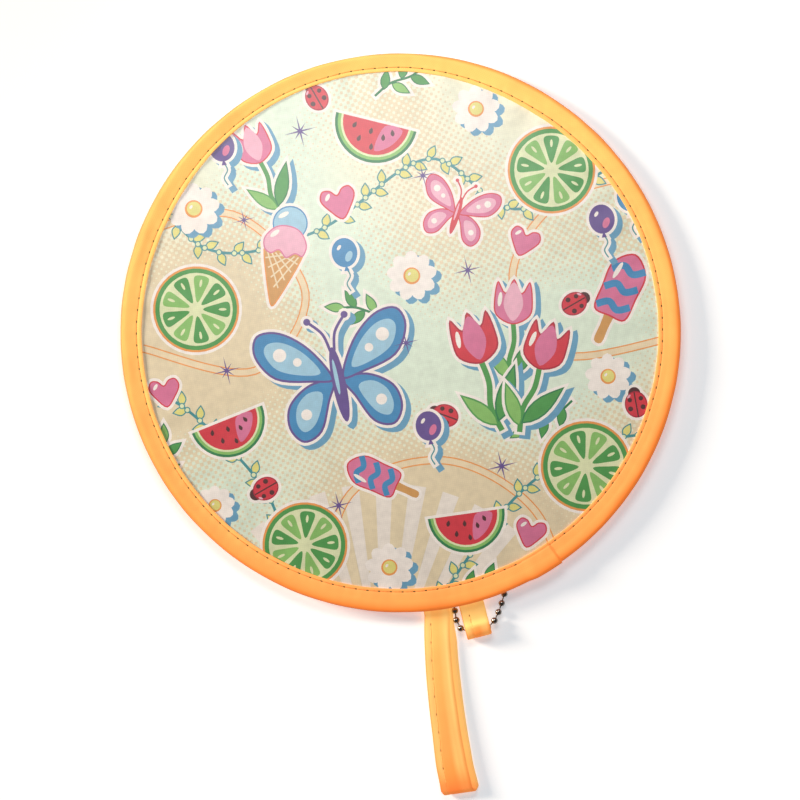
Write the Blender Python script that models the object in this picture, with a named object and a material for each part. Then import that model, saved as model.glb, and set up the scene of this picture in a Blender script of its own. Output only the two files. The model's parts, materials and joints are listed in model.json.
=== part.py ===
"""Twist-fold fan: a fabric disc sewn to a sprung steel hoop, with a wrist strap,
a small tab and a loop of ball chain. It lies on its back on the XY plane, the
strap towards -Y. The origin is under the middle of its box, at the height of the
surface that it lies on. All lengths are in metres.
"""
import math

import bmesh
import bpy
from mathutils import Matrix, Vector

# Disc, measured on the sewn fan
FAN_RADIUS = 0.1000
HEM_WIDTH = 0.0083
HEM_SHIFT = 0.00115
CLOTH = 0.00030
TAPE = 0.00035
SEAM_GAP = 0.00015
HEM_CREST = 0.00185
CREST_WIDTH = 0.00240
SHOULDER_WIDTH = 0.00230
RIM_CHAMFER = 0.00050
PANEL_INSET = 0.0026
ROUND_STEPS = 80

# Lapped end of the hem tape
LAP_ANGLE = math.radians(-63.4)
LAP_LENGTH = 0.0090
LAP_RISE = 0.0045
LAP_GAP = 0.00008
LAP_STEPS = 4

# Flat steel hoop and the sleeve crimped over its lapped ends
HOOP_THICKNESS = 0.00050
HOOP_HEIGHT = 0.0020
HOOP_GAP = 0.00025
HOOP_LAP = 0.0160
HOOP_LAP_GAP = 0.00010
HOOP_JOG = 0.0060
SLEEVE_ANGLE = math.radians(15.0)
SLEEVE_LENGTH = 0.0130
SLEEVE_WALL = 0.00020
SLEEVE_GAP = 0.00010
SLEEVE_STEPS = 8

# How the fan lies, and the folded tape that strap and tab are made of
LEG = 0.00110
LEG_GAP = 0.00030
SEAT_GAP = 0.00030
HINGE_OUT = 0.00160
TAPE_EDGE = 0.00025

# Wrist strap
STRAP_ROOT_LEFT = -0.0060
STRAP_ROOT_WIDTH = 0.0092
STRAP_WIDENING = 0.0022
STRAP_WIDENING_POWER = 1.6
STRAP_REACH = 0.0643
STRAP_DRIFT = 0.0038
STRAP_DRIFT_LENGTH = 0.0220
STRAP_PEEK = 0.0024
STRAP_PEEK_LENGTH = 0.0120
STRAP_BULGE = 0.00110
STRAP_PAD_LENGTH = 0.0074
STRAP_STEPS = 14

# Tab that carries the chain
TAB_ALONG_RIM = 0.01136
TAB_WIDTH = 0.0090
TAB_FOLD = 0.0082
TAB_NECK = 0.0042
TAB_PAD_LENGTH = 0.0060
TAB_STEPS = 8
FOLD_STEPS = 7

# Ball chain and its coupling
BALL_RADIUS = 0.00120
BALL_WALL = 0.00020
BALL_HOLE = 0.00070
BALL_SIDES = 10
BALL_ARC_STEPS = 5
PITCH = 0.00339
NECK_RADIUS = 0.00025
HEAD_RADIUS = 0.00076
HEAD_INNER = 0.00042
HEAD_THICKNESS = 0.00018
LINK_SIDES = 8
BALL_GAP = 0.00030
CHAIN_SHIFT = 0.00020
CHAIN_DROP_LENGTH = 0.0080
RIGHT_HEADINGS = (0.0, 31.5, 49.5, 55.5, 59.5)
LEFT_HEADINGS = (0.0, 38.5, 76.5, 95.5, 92.5, 92.5, 91.5, 96.5)
RIGHT_LINKS = 11
LEFT_LINKS = 12
FIRST_TURNS = (11.0, 15.0)
TURN_NUDGE = 0.001
HEIGHT_ROUNDS = 4
CLOSING_ROUNDS = 40
COUPLING_SPAN = 0.0046
COUPLING_WALL = 0.00025
COUPLING_GAP = 0.00015
COUPLING_LIP = 0.00070
COUPLING_SLOT = 0.00050
COUPLING_RISE = 0.0080
CUT_OVERRUN = 0.0010
BACK_STEPS = 8

# Colours as linear red, green, blue
PANEL_COLOUR = (0.86, 0.78, 0.58)
TAPE_COLOUR = (0.95, 0.52, 0.17)
STEEL_COLOUR = (0.55, 0.55, 0.56)
NICKEL_COLOUR = (0.72, 0.71, 0.69)

# Derived sizes
HEM_INNER_RADIUS = FAN_RADIUS - HEM_WIDTH
PANEL_RADIUS = FAN_RADIUS - PANEL_INSET
FLANGE = CLOTH / 2 + SEAM_GAP + TAPE
CREST_OUT = FAN_RADIUS - RIM_CHAMFER
CREST_IN = CREST_OUT - CREST_WIDTH + RIM_CHAMFER
SHOULDER_IN = CREST_IN - SHOULDER_WIDTH
LIFT = 2 * LEG + LEG_GAP + SEAT_GAP
TILT = math.asin(LIFT / (CREST_IN + CREST_OUT))
PLANE_HEIGHT = CREST_OUT * math.sin(TILT) + HEM_CREST * math.cos(TILT)
HINGE_RADIUS = FAN_RADIUS + HINGE_OUT
TAB_ANGLE = TAB_ALONG_RIM / HINGE_RADIUS
HINGE_HEIGHT = LEG + LEG_GAP / 2
NOSE = HINGE_HEIGHT
BALL_AXIS = LEG + BALL_GAP + BALL_RADIUS
HOOP_OUTER = FAN_RADIUS - TAPE - HOOP_GAP
COUPLING_INNER = BALL_RADIUS + COUPLING_GAP
COUPLING_OUTER = COUPLING_INNER + COUPLING_WALL
MIDDLE_OFFSET = (HINGE_RADIUS + STRAP_REACH - FAN_RADIUS) / 2


def clear_scene():
    """Remove everything that is in the scene."""
    for item in list(bpy.data.objects):
        bpy.data.objects.remove(item, do_unlink=True)


def material(name, colour, roughness, metallic=0.0):
    """Return a Principled material of one colour."""
    made = bpy.data.materials.new(name)
    made.use_nodes = True
    shader = made.node_tree.nodes["Principled BSDF"]
    shader.inputs["Base Color"].default_value = (*colour, 1.0)
    shader.inputs["Roughness"].default_value = roughness
    shader.inputs["Metallic"].default_value = metallic
    return made


def empty(name, location, parent=None, rotation=(0.0, 0.0, 0.0)):
    """Add an empty; its location is in its parent's frame."""
    item = bpy.data.objects.new(name, None)
    bpy.context.scene.collection.objects.link(item)
    item.location = location
    item.rotation_euler = rotation
    item.parent = parent
    return item


def add_object(name, bm, finish, parent=None, crease=35.0):
    """Turn a bmesh into a named object with smooth round sides."""
    bmesh.ops.recalc_face_normals(bm, faces=bm.faces)
    mesh = bpy.data.meshes.new(name)
    bm.to_mesh(mesh)
    bm.free()
    mesh.shade_smooth()
    mesh.set_sharp_from_angle(angle=math.radians(crease))
    mesh.materials.append(finish)
    return place_mesh(name, mesh, parent)


def place_mesh(name, mesh, parent):
    """Link a mesh into the scene under a name and a parent."""
    item = bpy.data.objects.new(name, mesh)
    bpy.context.scene.collection.objects.link(item)
    item.parent = parent
    return item


def loft(sections, closed_path=False):
    """Join sections of equally many points with quads, with caps on an open row."""
    bm = bmesh.new()
    rows = [[bm.verts.new(point) for point in section] for section in sections]
    count = len(rows[0])
    pairs = list(zip(rows, rows[1:]))
    if closed_path:
        pairs.append((rows[-1], rows[0]))
    for first, second in pairs:
        for i in range(count):
            j = (i + 1) % count
            bm.faces.new((first[i], first[j], second[j], second[i]))
    if not closed_path:
        bm.faces.new(rows[0])
        bm.faces.new(rows[-1])
    return bm


def smooth_step(value):
    """Return 0 to 1 with level ends, for a value that runs from 0 to 1."""
    value = min(max(value, 0.0), 1.0)
    return value * value * (3.0 - 2.0 * value)


def on_circle(angle, profile):
    """Stand a profile of (radius, height) points upright at an angle of the disc."""
    return [Vector((r * math.cos(angle), r * math.sin(angle), h)) for r, h in profile]


def hem_inner_radius(angle):
    """Return the hem's inner edge, wider towards the strap."""
    return HEM_INNER_RADIUS + HEM_SHIFT * math.sin(angle)


def hem_profile(angle, lift):
    """Return the section of the folded tape, lifted off the disc by a lap below it."""
    inner = hem_inner_radius(angle)
    crest = HEM_CREST + lift
    flange = FLANGE + lift
    rim = FAN_RADIUS + lift
    outside = [
        (inner, flange),
        (SHOULDER_IN, flange),
        (CREST_IN, crest),
        (rim - RIM_CHAMFER, crest),
        (rim, crest - RIM_CHAMFER),
    ]
    inside = [
        (rim - TAPE, crest - RIM_CHAMFER),
        (rim - RIM_CHAMFER, crest - TAPE),
        (CREST_IN + TAPE / 2, crest - TAPE),
        (SHOULDER_IN + TAPE / 2, flange - TAPE),
        (inner, flange - TAPE),
    ]
    lower_outside = [(r, -h) for r, h in reversed(outside)]
    lower_inside = [(r, -h) for r, h in reversed(inside)]
    return outside + lower_outside + lower_inside + inside


def build_hem(finish, parent):
    """Sweep the tape once round the rim, its end lapped over its start."""
    lap = LAP_LENGTH / FAN_RADIUS
    rise = LAP_RISE / FAN_RADIUS
    start = LAP_ANGLE - lap
    lap_lift = TAPE + LAP_GAP
    full_turn = 2 * math.pi
    climb = start + full_turn - rise / LAP_STEPS
    angles = [start + (full_turn - rise * 2) * i / ROUND_STEPS for i in range(ROUND_STEPS + 1)]
    angles += [climb - rise + rise * i / LAP_STEPS for i in range(LAP_STEPS + 1)]
    angles += [start + full_turn + lap * i / LAP_STEPS for i in range(LAP_STEPS + 1)]
    sections = []
    for angle in angles:
        lift = lap_lift * smooth_step((angle - climb + rise) / rise)
        sections.append(on_circle(angle, hem_profile(angle, lift)))
    return add_object("edge_binding", loft(sections), finish, parent)


def build_panel(finish, parent):
    """Make the round of printed cloth, its edge inside the hem."""
    bm = bmesh.new()
    bmesh.ops.create_cone(
        bm,
        cap_ends=True,
        segments=ROUND_STEPS,
        radius1=PANEL_RADIUS,
        radius2=PANEL_RADIUS,
        depth=CLOTH,
    )
    return add_object("fan_panel", bm, finish, parent)


def build_hoop(finish, parent):
    """Bend the flat band into a ring whose start lies inside its end."""
    lap = HOOP_LAP / HOOP_OUTER
    jog = HOOP_JOG / HOOP_OUTER
    start = SLEEVE_ANGLE - lap / 2
    span = 2 * math.pi + lap
    inset = HOOP_THICKNESS + HOOP_LAP_GAP
    half = HOOP_HEIGHT / 2
    angles = [start + lap * i / LAP_STEPS for i in range(LAP_STEPS)]
    angles += [start + lap + jog * i / LAP_STEPS for i in range(LAP_STEPS)]
    first = lap + jog
    angles += [start + first + (span - first) * i / ROUND_STEPS for i in range(ROUND_STEPS + 1)]
    sections = []
    for angle in angles:
        outer = HOOP_OUTER - inset * (1.0 - smooth_step((angle - start - lap) / jog))
        inner = outer - HOOP_THICKNESS
        profile = [(inner, half), (outer, half), (outer, -half), (inner, -half)]
        sections.append(on_circle(angle, profile))
    return add_object("spring_hoop", loft(sections), finish, parent)


def build_sleeve(finish, parent):
    """Wrap the crimped sleeve round the two layers of the lapped hoop."""
    half_turn = SLEEVE_LENGTH / HOOP_OUTER / 2
    bore_out = HOOP_OUTER + SLEEVE_GAP / 2
    bore_in = HOOP_OUTER - 2 * HOOP_THICKNESS - HOOP_LAP_GAP - SLEEVE_GAP
    bore_half = HOOP_HEIGHT / 2 + SLEEVE_GAP
    wall_out = bore_out + SLEEVE_WALL / 2
    wall_in = bore_in - SLEEVE_WALL
    wall_half = bore_half + SLEEVE_WALL
    outer = [(wall_in, wall_half), (wall_out, wall_half), (wall_out, -wall_half), (wall_in, -wall_half)]
    inner = [(bore_in, bore_half), (bore_out, bore_half), (bore_out, -bore_half), (bore_in, -bore_half)]
    angles = [SLEEVE_ANGLE - half_turn + 2 * half_turn * i / SLEEVE_STEPS for i in range(SLEEVE_STEPS + 1)]
    bm = bmesh.new()
    walls = []
    for profile in (outer, inner):
        rows = [[bm.verts.new(point) for point in on_circle(angle, profile)] for angle in angles]
        walls.append(rows)
        for first, second in zip(rows, rows[1:]):
            for i in range(len(profile)):
                j = (i + 1) % len(profile)
                bm.faces.new((first[i], first[j], second[j], second[i]))
    for end in (0, -1):
        outside, inside = walls[0][end], walls[1][end]
        for i in range(len(outer)):
            j = (i + 1) % len(outer)
            bm.faces.new((outside[i], outside[j], inside[j], inside[i]))
    return add_object("hoop_sleeve", bm, finish, parent)


def flange_underside(radius):
    """Return the height of the hem's back flange towards the strap, at a radius."""
    return PLANE_HEIGHT + radius * math.sin(TILT) - FLANGE


def pad_profile(length):
    """Return (inward, height) points of a sewn-on root, from the fold to its end.

    It lies on the table under the rim and steps up behind it to the flange."""
    near = NOSE + SEAT_GAP
    far = near + length
    thickness = 2 * LEG + LEG_GAP
    top = flange_underside(HINGE_RADIUS - far) - SEAT_GAP
    step_start = HINGE_RADIUS - CREST_IN
    step_end = HINGE_RADIUS - SHOULDER_IN
    return [
        (near, 0.0),
        (step_start + SEAT_GAP, 0.0),
        (step_end + SEAT_GAP, top - thickness),
        (far, top - thickness),
        (far, top),
        (step_end, top),
        (step_start, thickness),
        (near, thickness),
    ]


def build_pad(name, length, left, width, finish, parent):
    """Extrude a root across its width; the parent's -Y points outwards."""
    profile = pad_profile(length)
    sides = (left, left + width)
    sections = [[Vector((x, inward, height - HINGE_HEIGHT)) for inward, height in profile] for x in sides]
    return add_object(name, loft(sections), finish, parent)


def tape_section(centre, across, out, width):
    """Return the eight points of a folded tape's section round a centre."""
    half_width = width / 2
    half = LEG / 2
    edge = TAPE_EDGE
    shape = [
        (half_width, half - edge),
        (half_width - edge, half),
        (-half_width + edge, half),
        (-half_width, half - edge),
        (-half_width, -half + edge),
        (-half_width + edge, -half),
        (half_width - edge, -half),
        (half_width, -half + edge),
    ]
    return [centre + across * a + out * b for a, b in shape]


def loop_path(reach, top_at, steps, low):
    """Return (outward, height, slope angle, share of the turn) round a folded loop.

    It starts on the upper leg at the hinge, goes round the far fold and back along
    the lower leg, whose middle line is at the height low, and ends round the hinge."""
    points = []
    fold_radius = (top_at(reach) - low) / 2
    straight = reach
    for i in range(steps):
        s = straight * i / steps
        ahead = straight / steps / 2
        slope = math.atan2(top_at(s + ahead) - top_at(max(s - ahead, 0.0)), ahead + min(s, ahead))
        points.append((s, top_at(s), slope, 0.0))
    for i in range(FOLD_STEPS + 1):
        turn = math.pi * i / FOLD_STEPS
        out = straight + fold_radius * math.sin(turn)
        height = low + fold_radius + fold_radius * math.cos(turn)
        points.append((out, height, -turn, i / FOLD_STEPS))
    for i in range(1, steps + 1):
        points.append((straight * (steps - i) / steps, low, -math.pi, 1.0))
    nose_radius = (top_at(0.0) - low) / 2
    for i in range(1, FOLD_STEPS):
        turn = math.pi * i / FOLD_STEPS
        out = -nose_radius * math.sin(turn)
        height = low + nose_radius - nose_radius * math.cos(turn)
        points.append((out, height, -math.pi - turn, 1.0 - i / FOLD_STEPS))
    return points


def build_loop(name, path, across_at, width_at, finish, parent):
    """Sweep the folded tape round a closed loop that runs out along -Y."""
    across = Vector((1.0, 0.0, 0.0))
    sections = []
    for out, height, slope, share in path:
        centre = Vector((across_at(out, share), -out, height))
        normal = Vector((0.0, math.sin(slope), math.cos(slope)))
        sections.append(tape_section(centre, across, normal, width_at(out)))
    return add_object(name, loft(sections, closed_path=True), finish, parent, crease=50.0)


def strap_width(out):
    """Return the strap's width at a distance from its fold line."""
    share = min(max(out / STRAP_REACH, 0.0), 1.0)
    return STRAP_ROOT_WIDTH + STRAP_WIDENING * share ** STRAP_WIDENING_POWER


def strap_middle(out, share):
    """Return where the strap's middle lies across the fold line, share 1 on the lower leg."""
    out = max(out, 0.0)
    left = STRAP_ROOT_LEFT - STRAP_DRIFT * (1.0 - math.exp(-out / STRAP_DRIFT_LENGTH))
    peek = STRAP_PEEK * smooth_step(out / STRAP_PEEK_LENGTH)
    return left + strap_width(out) / 2 + peek * share


def build_strap(finish, hinge, frame):
    """Make the wrist strap: a root sewn to the fan and a loop that swings."""
    low = LEG / 2 - HINGE_HEIGHT
    rest = LEG + LEG_GAP + low

    def top_at(out):
        return rest + STRAP_BULGE * smooth_step(out / STRAP_REACH)

    reach = STRAP_REACH - (top_at(STRAP_REACH) - low) / 2 - LEG / 2
    path = loop_path(reach, top_at, STRAP_STEPS, low)
    build_pad("strap_root", STRAP_PAD_LENGTH, STRAP_ROOT_LEFT, STRAP_ROOT_WIDTH, finish, frame)
    build_loop("wrist_strap", path, strap_middle, strap_width, finish, hinge)


def build_tab(finish, hinge, frame):
    """Make the tab: a root sewn to the fan and a short loop round the chain."""
    low = LEG / 2 - HINGE_HEIGHT
    rest = LEG + LEG_GAP + low
    top = low + LEG + 2 * (BALL_GAP + BALL_RADIUS)

    def top_at(out):
        return rest + (top - rest) * smooth_step((out - TAB_NECK) / (TAB_FOLD - TAB_NECK))

    path = loop_path(TAB_FOLD, top_at, TAB_STEPS, low)
    build_pad("tab_root", TAB_PAD_LENGTH, -TAB_WIDTH / 2, TAB_WIDTH, finish, frame)
    build_loop("chain_tab", path, lambda out, share: 0.0, lambda out: TAB_WIDTH, finish, hinge)


def chain_height(outward):
    """Return a ball's height by how far it lies inwards of the tab's fold."""
    drop = smooth_step(outward / CHAIN_DROP_LENGTH)
    far = PITCH * max(RIGHT_LINKS, LEFT_LINKS)
    rise = smooth_step((outward - far / 2) / COUPLING_RISE)
    lying = BALL_RADIUS + (COUPLING_OUTER - BALL_RADIUS) * rise
    return BALL_AXIS + (lying - BALL_AXIS) * drop


def walk_chain(headings, side):
    """Step from the middle ball, one pitch a link, and return the ball centres.

    Headings are degrees from the fold line, side is 1 to the right and -1 to the left.
    Positions are (along the fold, inwards, height)."""
    place = Vector((CHAIN_SHIFT, 0.0, BALL_AXIS))
    row = [place]
    for heading in headings:
        along = side * math.cos(math.radians(heading))
        inwards = math.sin(math.radians(heading))
        drop = 0.0
        for _ in range(HEIGHT_ROUNDS):
            flat = math.sqrt(PITCH ** 2 - drop ** 2)
            drop = chain_height(place.y + inwards * flat) - place.z
        place = place + Vector((along * flat, inwards * flat, drop))
        row.append(place)
    return row


def chain_rows(turns):
    """Return the two rows of balls whose far ends turn evenly by the given degrees."""
    right = list(RIGHT_HEADINGS)
    left = list(LEFT_HEADINGS)
    while len(right) < RIGHT_LINKS:
        right.append(right[-1] + turns[0])
    while len(left) < LEFT_LINKS:
        left.append(left[-1] + turns[1])
    return walk_chain(right, 1), walk_chain(left, -1)


def end_misfit(turns):
    """Return how far the two end balls are from one coupling apart, bent alike."""
    right, left = chain_rows(turns)
    across = left[-1] - right[-1]
    right_bend = (right[-1] - right[-2]).angle(across)
    left_bend = (left[-2] - left[-1]).angle(across)
    return Vector(((across.length - COUPLING_SPAN) / PITCH, right_bend - left_bend))


def close_chain():
    """Turn the far rows until the end balls meet in the coupling."""
    turns = Vector(FIRST_TURNS)
    for _ in range(CLOSING_ROUNDS):
        misfit = end_misfit(turns)
        slope = Matrix.Identity(2)
        for column in range(2):
            moved = turns.copy()
            moved[column] += TURN_NUDGE
            change = (end_misfit(moved) - misfit) / TURN_NUDGE
            slope[0][column] = change[0]
            slope[1][column] = change[1]
        turns = turns - slope.inverted() @ misfit
    return chain_rows(turns)


def ball_mesh(finish):
    """Turn a hollow ball with a hole at each end of its X axis."""
    inner_radius = BALL_RADIUS - BALL_WALL
    profile = []
    for radius, order in ((BALL_RADIUS, 1), (inner_radius, -1)):
        edge = math.asin(BALL_HOLE / radius)
        steps = [edge + (math.pi - 2 * edge) * i / BALL_ARC_STEPS for i in range(BALL_ARC_STEPS + 1)]
        profile += [(radius * math.cos(a), radius * math.sin(a)) for a in steps[::order]]
    sections = []
    for i in range(BALL_SIDES):
        turn = 2 * math.pi * i / BALL_SIDES
        sections.append([Vector((x, r * math.cos(turn), r * math.sin(turn))) for x, r in profile])
    bm = loft(sections, closed_path=True)
    bmesh.ops.recalc_face_normals(bm, faces=bm.faces)
    mesh = bpy.data.meshes.new("hollow_ball")
    bm.to_mesh(mesh)
    bm.free()
    mesh.shade_smooth()
    mesh.set_sharp_from_angle(angle=math.radians(60.0))
    mesh.materials.append(finish)
    return mesh


def link_mesh(finish):
    """Turn a wire link with a head at each end, centred, along its X axis."""
    inner = PITCH / 2 - HEAD_INNER
    outer = inner - HEAD_THICKNESS
    profile = [
        (-inner, HEAD_RADIUS),
        (-outer, HEAD_RADIUS),
        (-outer, NECK_RADIUS),
        (outer, NECK_RADIUS),
        (outer, HEAD_RADIUS),
        (inner, HEAD_RADIUS),
    ]
    sections = []
    for x, radius in profile:
        turns = [2 * math.pi * i / LINK_SIDES for i in range(LINK_SIDES)]
        sections.append([Vector((x, radius * math.cos(t), radius * math.sin(t))) for t in turns])
    bm = loft(sections)
    bmesh.ops.recalc_face_normals(bm, faces=bm.faces)
    mesh = bpy.data.meshes.new("wire_link")
    bm.to_mesh(mesh)
    bm.free()
    mesh.shade_smooth()
    mesh.set_sharp_from_angle(angle=math.radians(40.0))
    mesh.materials.append(finish)
    return mesh


def aim(item, place, direction):
    """Put an object at a place with its X axis along a direction."""
    item.location = place
    item.rotation_euler = direction.to_track_quat("X", "Z").to_euler()


def box_cutter(name, low, high, parent):
    """Add a hidden box between two corners, to cut with."""
    bm = bmesh.new()
    size = Vector(high) - Vector(low)
    middle = (Vector(high) + Vector(low)) / 2
    bmesh.ops.create_cube(bm, size=1.0, matrix=Matrix.Translation(middle) @ Matrix.Diagonal((*size, 1.0)))
    return hide_cutter(add_object(name, bm, None, parent))


def hide_cutter(item):
    """Keep a cutter out of the model."""
    item.hide_render = True
    item.display_type = "WIRE"
    return item


def channel_bar(radius, lip, half_length):
    """Extrude a D-shaped bar along X, round at the back and flat at the front (-Y)."""
    turns = [math.pi * i / BACK_STEPS for i in range(BACK_STEPS + 1)]
    outline = [(radius * math.sin(t), radius * math.cos(t)) for t in turns]
    outline += [(-lip, -radius), (-lip, radius)]
    return loft([[Vector((x, y, z)) for y, z in outline] for x in (-half_length, half_length)])


def build_coupling(finish, parent, right_end, left_end):
    """Make the open sheet coupling that holds the two end balls side by side."""
    half = COUPLING_SPAN / 2 + COUPLING_OUTER
    bm = channel_bar(COUPLING_OUTER, COUPLING_LIP, half)
    coupling = add_object("chain_coupling", bm, finish, parent)
    hollow = channel_bar(COUPLING_INNER, COUPLING_LIP + CUT_OVERRUN, half - COUPLING_WALL)
    cutters = [hide_cutter(add_object("coupling_hollow", hollow, None, coupling))]
    for side in (-1, 1):
        ends = sorted((side * (half - COUPLING_WALL - COUPLING_GAP), side * (half + CUT_OVERRUN)))
        low = (ends[0], -COUPLING_LIP - CUT_OVERRUN, -COUPLING_SLOT)
        high = (ends[1], COUPLING_SLOT, COUPLING_SLOT)
        cutters.append(box_cutter("coupling_slot", low, high, coupling))
    for cutter in cutters:
        cut = coupling.modifiers.new(cutter.name, "BOOLEAN")
        cut.operation = "DIFFERENCE"
        cut.solver = "EXACT"
        cut.object = cutter
    along = left_end - right_end
    coupling.location = (right_end + left_end) / 2
    coupling.rotation_euler = (0.0, 0.0, math.atan2(-along.y, -along.x))
    return coupling


def build_chain(finish, swing):
    """Thread the ball chain through the tab: hollow balls on wire links, one coupling."""
    right, left = close_chain()
    balls = list(reversed(right)) + left[1:]
    balls = [place - Vector((0.0, 0.0, BALL_AXIS)) for place in balls]
    hollow_ball = ball_mesh(finish)
    wire_link = link_mesh(finish)
    last = len(balls) - 1
    for number, place in enumerate(balls):
        before = balls[number - 1] if number > 0 else balls[last]
        after = balls[number + 1] if number < last else balls[0]
        direction = (place - before).normalized() + (after - place).normalized()
        ball = place_mesh(f"chain_ball_{number + 1:02d}", hollow_ball, swing)
        aim(ball, place, direction)
    for number, (first, second) in enumerate(zip(balls, balls[1:])):
        link = place_mesh(f"chain_link_{number + 1:02d}", wire_link, swing)
        aim(link, (first + second) / 2, second - first)
    slide = empty("coupling_slide", (0.0, 0.0, 0.0), swing)
    build_coupling(finish, slide, balls[0], balls[last])


def main():
    """Build the fan on its back, with its strap, tab and chain behind the rim."""
    clear_scene()
    printed = material("printed_cloth", PANEL_COLOUR, 0.65)
    tape = material("hem_tape", TAPE_COLOUR, 0.55)
    steel = material("spring_steel", STEEL_COLOUR, 0.35, 1.0)
    nickel = material("nickel_plate", NICKEL_COLOUR, 0.25, 1.0)

    table = empty("table_plane", (0.0, MIDDLE_OFFSET, 0.0))
    disc = empty("disc_plane", (0.0, 0.0, PLANE_HEIGHT), table, (-TILT, 0.0, 0.0))
    build_panel(printed, disc)
    build_hem(tape, disc)
    build_hoop(steel, disc)
    build_sleeve(steel, disc)

    strap_frame = empty("strap_frame", (0.0, -HINGE_RADIUS, HINGE_HEIGHT), table)
    strap_hinge = empty("strap_hinge", (0.0, 0.0, 0.0), strap_frame)
    build_strap(tape, strap_hinge, strap_frame)

    tab_place = (HINGE_RADIUS * math.sin(TAB_ANGLE), -HINGE_RADIUS * math.cos(TAB_ANGLE), HINGE_HEIGHT)
    tab_frame = empty("tab_frame", tab_place, table, (0.0, 0.0, TAB_ANGLE))
    tab_hinge = empty("tab_hinge", (0.0, 0.0, 0.0), tab_frame)
    build_tab(tape, tab_hinge, tab_frame)

    chain_swing = empty("chain_swing", (0.0, -TAB_FOLD, BALL_AXIS - HINGE_HEIGHT), tab_hinge)
    build_chain(nickel, chain_swing)


main()
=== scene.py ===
"""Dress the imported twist-fold fan: printed panel, bias-tape hem, strap, tab and ball chain.

Lengths are in metres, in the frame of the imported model. The fan lies on its back with its
strap towards -Y. The print is laid out in millimetres, upright as the photograph shows it.
"""
import json
import logging
import math
from collections.abc import Sequence
from dataclasses import dataclass, field
from enum import Enum

import bpy
import numpy as np
from mathutils import Matrix, Vector, noise
from mathutils.geometry import delaunay_2d_cdt


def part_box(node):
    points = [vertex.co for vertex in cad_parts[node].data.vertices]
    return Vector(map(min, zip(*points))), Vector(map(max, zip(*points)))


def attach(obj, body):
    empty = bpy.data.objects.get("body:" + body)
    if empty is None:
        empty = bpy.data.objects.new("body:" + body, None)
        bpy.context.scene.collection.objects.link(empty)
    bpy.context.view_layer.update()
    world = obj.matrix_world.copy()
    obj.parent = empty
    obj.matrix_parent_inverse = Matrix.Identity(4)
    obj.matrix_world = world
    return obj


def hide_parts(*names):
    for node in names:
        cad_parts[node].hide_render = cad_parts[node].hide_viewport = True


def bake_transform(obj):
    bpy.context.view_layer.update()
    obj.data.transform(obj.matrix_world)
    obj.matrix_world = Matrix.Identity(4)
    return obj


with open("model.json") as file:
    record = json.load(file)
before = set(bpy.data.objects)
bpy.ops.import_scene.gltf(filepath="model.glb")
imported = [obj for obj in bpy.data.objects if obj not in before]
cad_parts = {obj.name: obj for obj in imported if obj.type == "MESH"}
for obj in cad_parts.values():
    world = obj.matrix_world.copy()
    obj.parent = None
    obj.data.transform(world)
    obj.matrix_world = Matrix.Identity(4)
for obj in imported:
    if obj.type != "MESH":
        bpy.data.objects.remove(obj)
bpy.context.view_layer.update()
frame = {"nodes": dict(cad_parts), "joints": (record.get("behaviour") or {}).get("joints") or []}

MM = 0.001
TURN = 2 * math.pi
UPRIGHT = math.radians(-8.16)  # how far the photograph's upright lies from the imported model's Y
BAND_REPEAT = 0.31  # a band texture of scale 1 repeats after about this many metres
LOG = logging.getLogger("fan")

Point = tuple[float, float]
Outline = list[Point]
Tree = bpy.types.NodeTree
Node = bpy.types.Node
Socket = bpy.types.NodeSocket
Material = bpy.types.Material
Piece = bpy.types.Object


class Body(Enum):
    """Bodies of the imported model."""

    FAN = "fan"
    STRAP = "strap"
    TAB = "tab"
    CHAIN = "chain"


class Slot(Enum):
    """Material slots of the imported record."""

    CLOTH = "printed_cloth"
    TAPE = "hem_tape"
    NICKEL = "nickel_plate"


class Ink(Enum):
    """Inks of the print, and the bare ground, as sRGB hex colours."""

    GROUND = "#EADDBA"
    MILK = "#F3EEE6"
    BUFF = "#F2E2C0"
    WHITE = "#FCF8F3"
    SHADOW = "#6FA9CC"
    BLUE = "#4C93C8"
    SKY = "#A5D2EA"
    RED = "#DA4552"
    CRIMSON = "#B5364A"
    ROSE = "#DF7FA6"
    BLUSH = "#F2BBD0"
    LEAF = "#57A35A"
    FOREST = "#3B8759"
    LIME = "#8FC873"
    PITH = "#E6F0C4"
    LEMON = "#E9E48C"
    TEAL = "#4E9AA2"
    APRICOT = "#F0A35C"
    WAFFLE = "#D9A566"
    PLUM = "#6D5A9C"
    COCOA = "#5A3A3C"


def linear(hex_colour: str) -> tuple[float, float, float, float]:
    """Turn an sRGB hex colour to linear values.

    Args:
        hex_colour: The colour, such as "#FFAA58".

    Returns:
        Red, green, blue and an alpha of 1.
    """
    channels = [int(hex_colour[i : i + 2], 16) / 255 for i in (1, 3, 5)]
    lit = [c / 12.92 if c <= 0.04045 else ((c + 0.055) / 1.055) ** 2.4 for c in channels]
    return (lit[0], lit[1], lit[2], 1.0)


def connect(tree: Tree, node: Node, inputs: dict) -> None:
    """Link a node's inputs to sockets, or set their values, by name or number."""
    for key, value in inputs.items():
        if isinstance(value, Socket):
            tree.links.new(value, node.inputs[key])
        else:
            node.inputs[key].default_value = value


def add_node(tree: Tree, kind: str, settings: dict, inputs: dict) -> Node:
    """Add a node with its settings, and link or set its inputs.

    Args:
        tree: The node tree that gets the node.
        kind: Blender's name of the node type.
        settings: Properties of the node, by name.
        inputs: Sockets by name or number, each with a value or with a socket to link from.

    Returns:
        The new node.
    """
    node = tree.nodes.new(kind)
    for name, value in settings.items():
        setattr(node, name, value)
    connect(tree, node, inputs)
    return node


def object_place(tree: Tree) -> Socket:
    """Return the place on the piece, in metres."""
    return add_node(tree, "ShaderNodeTexCoord", {}, {}).outputs["Object"]


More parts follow.
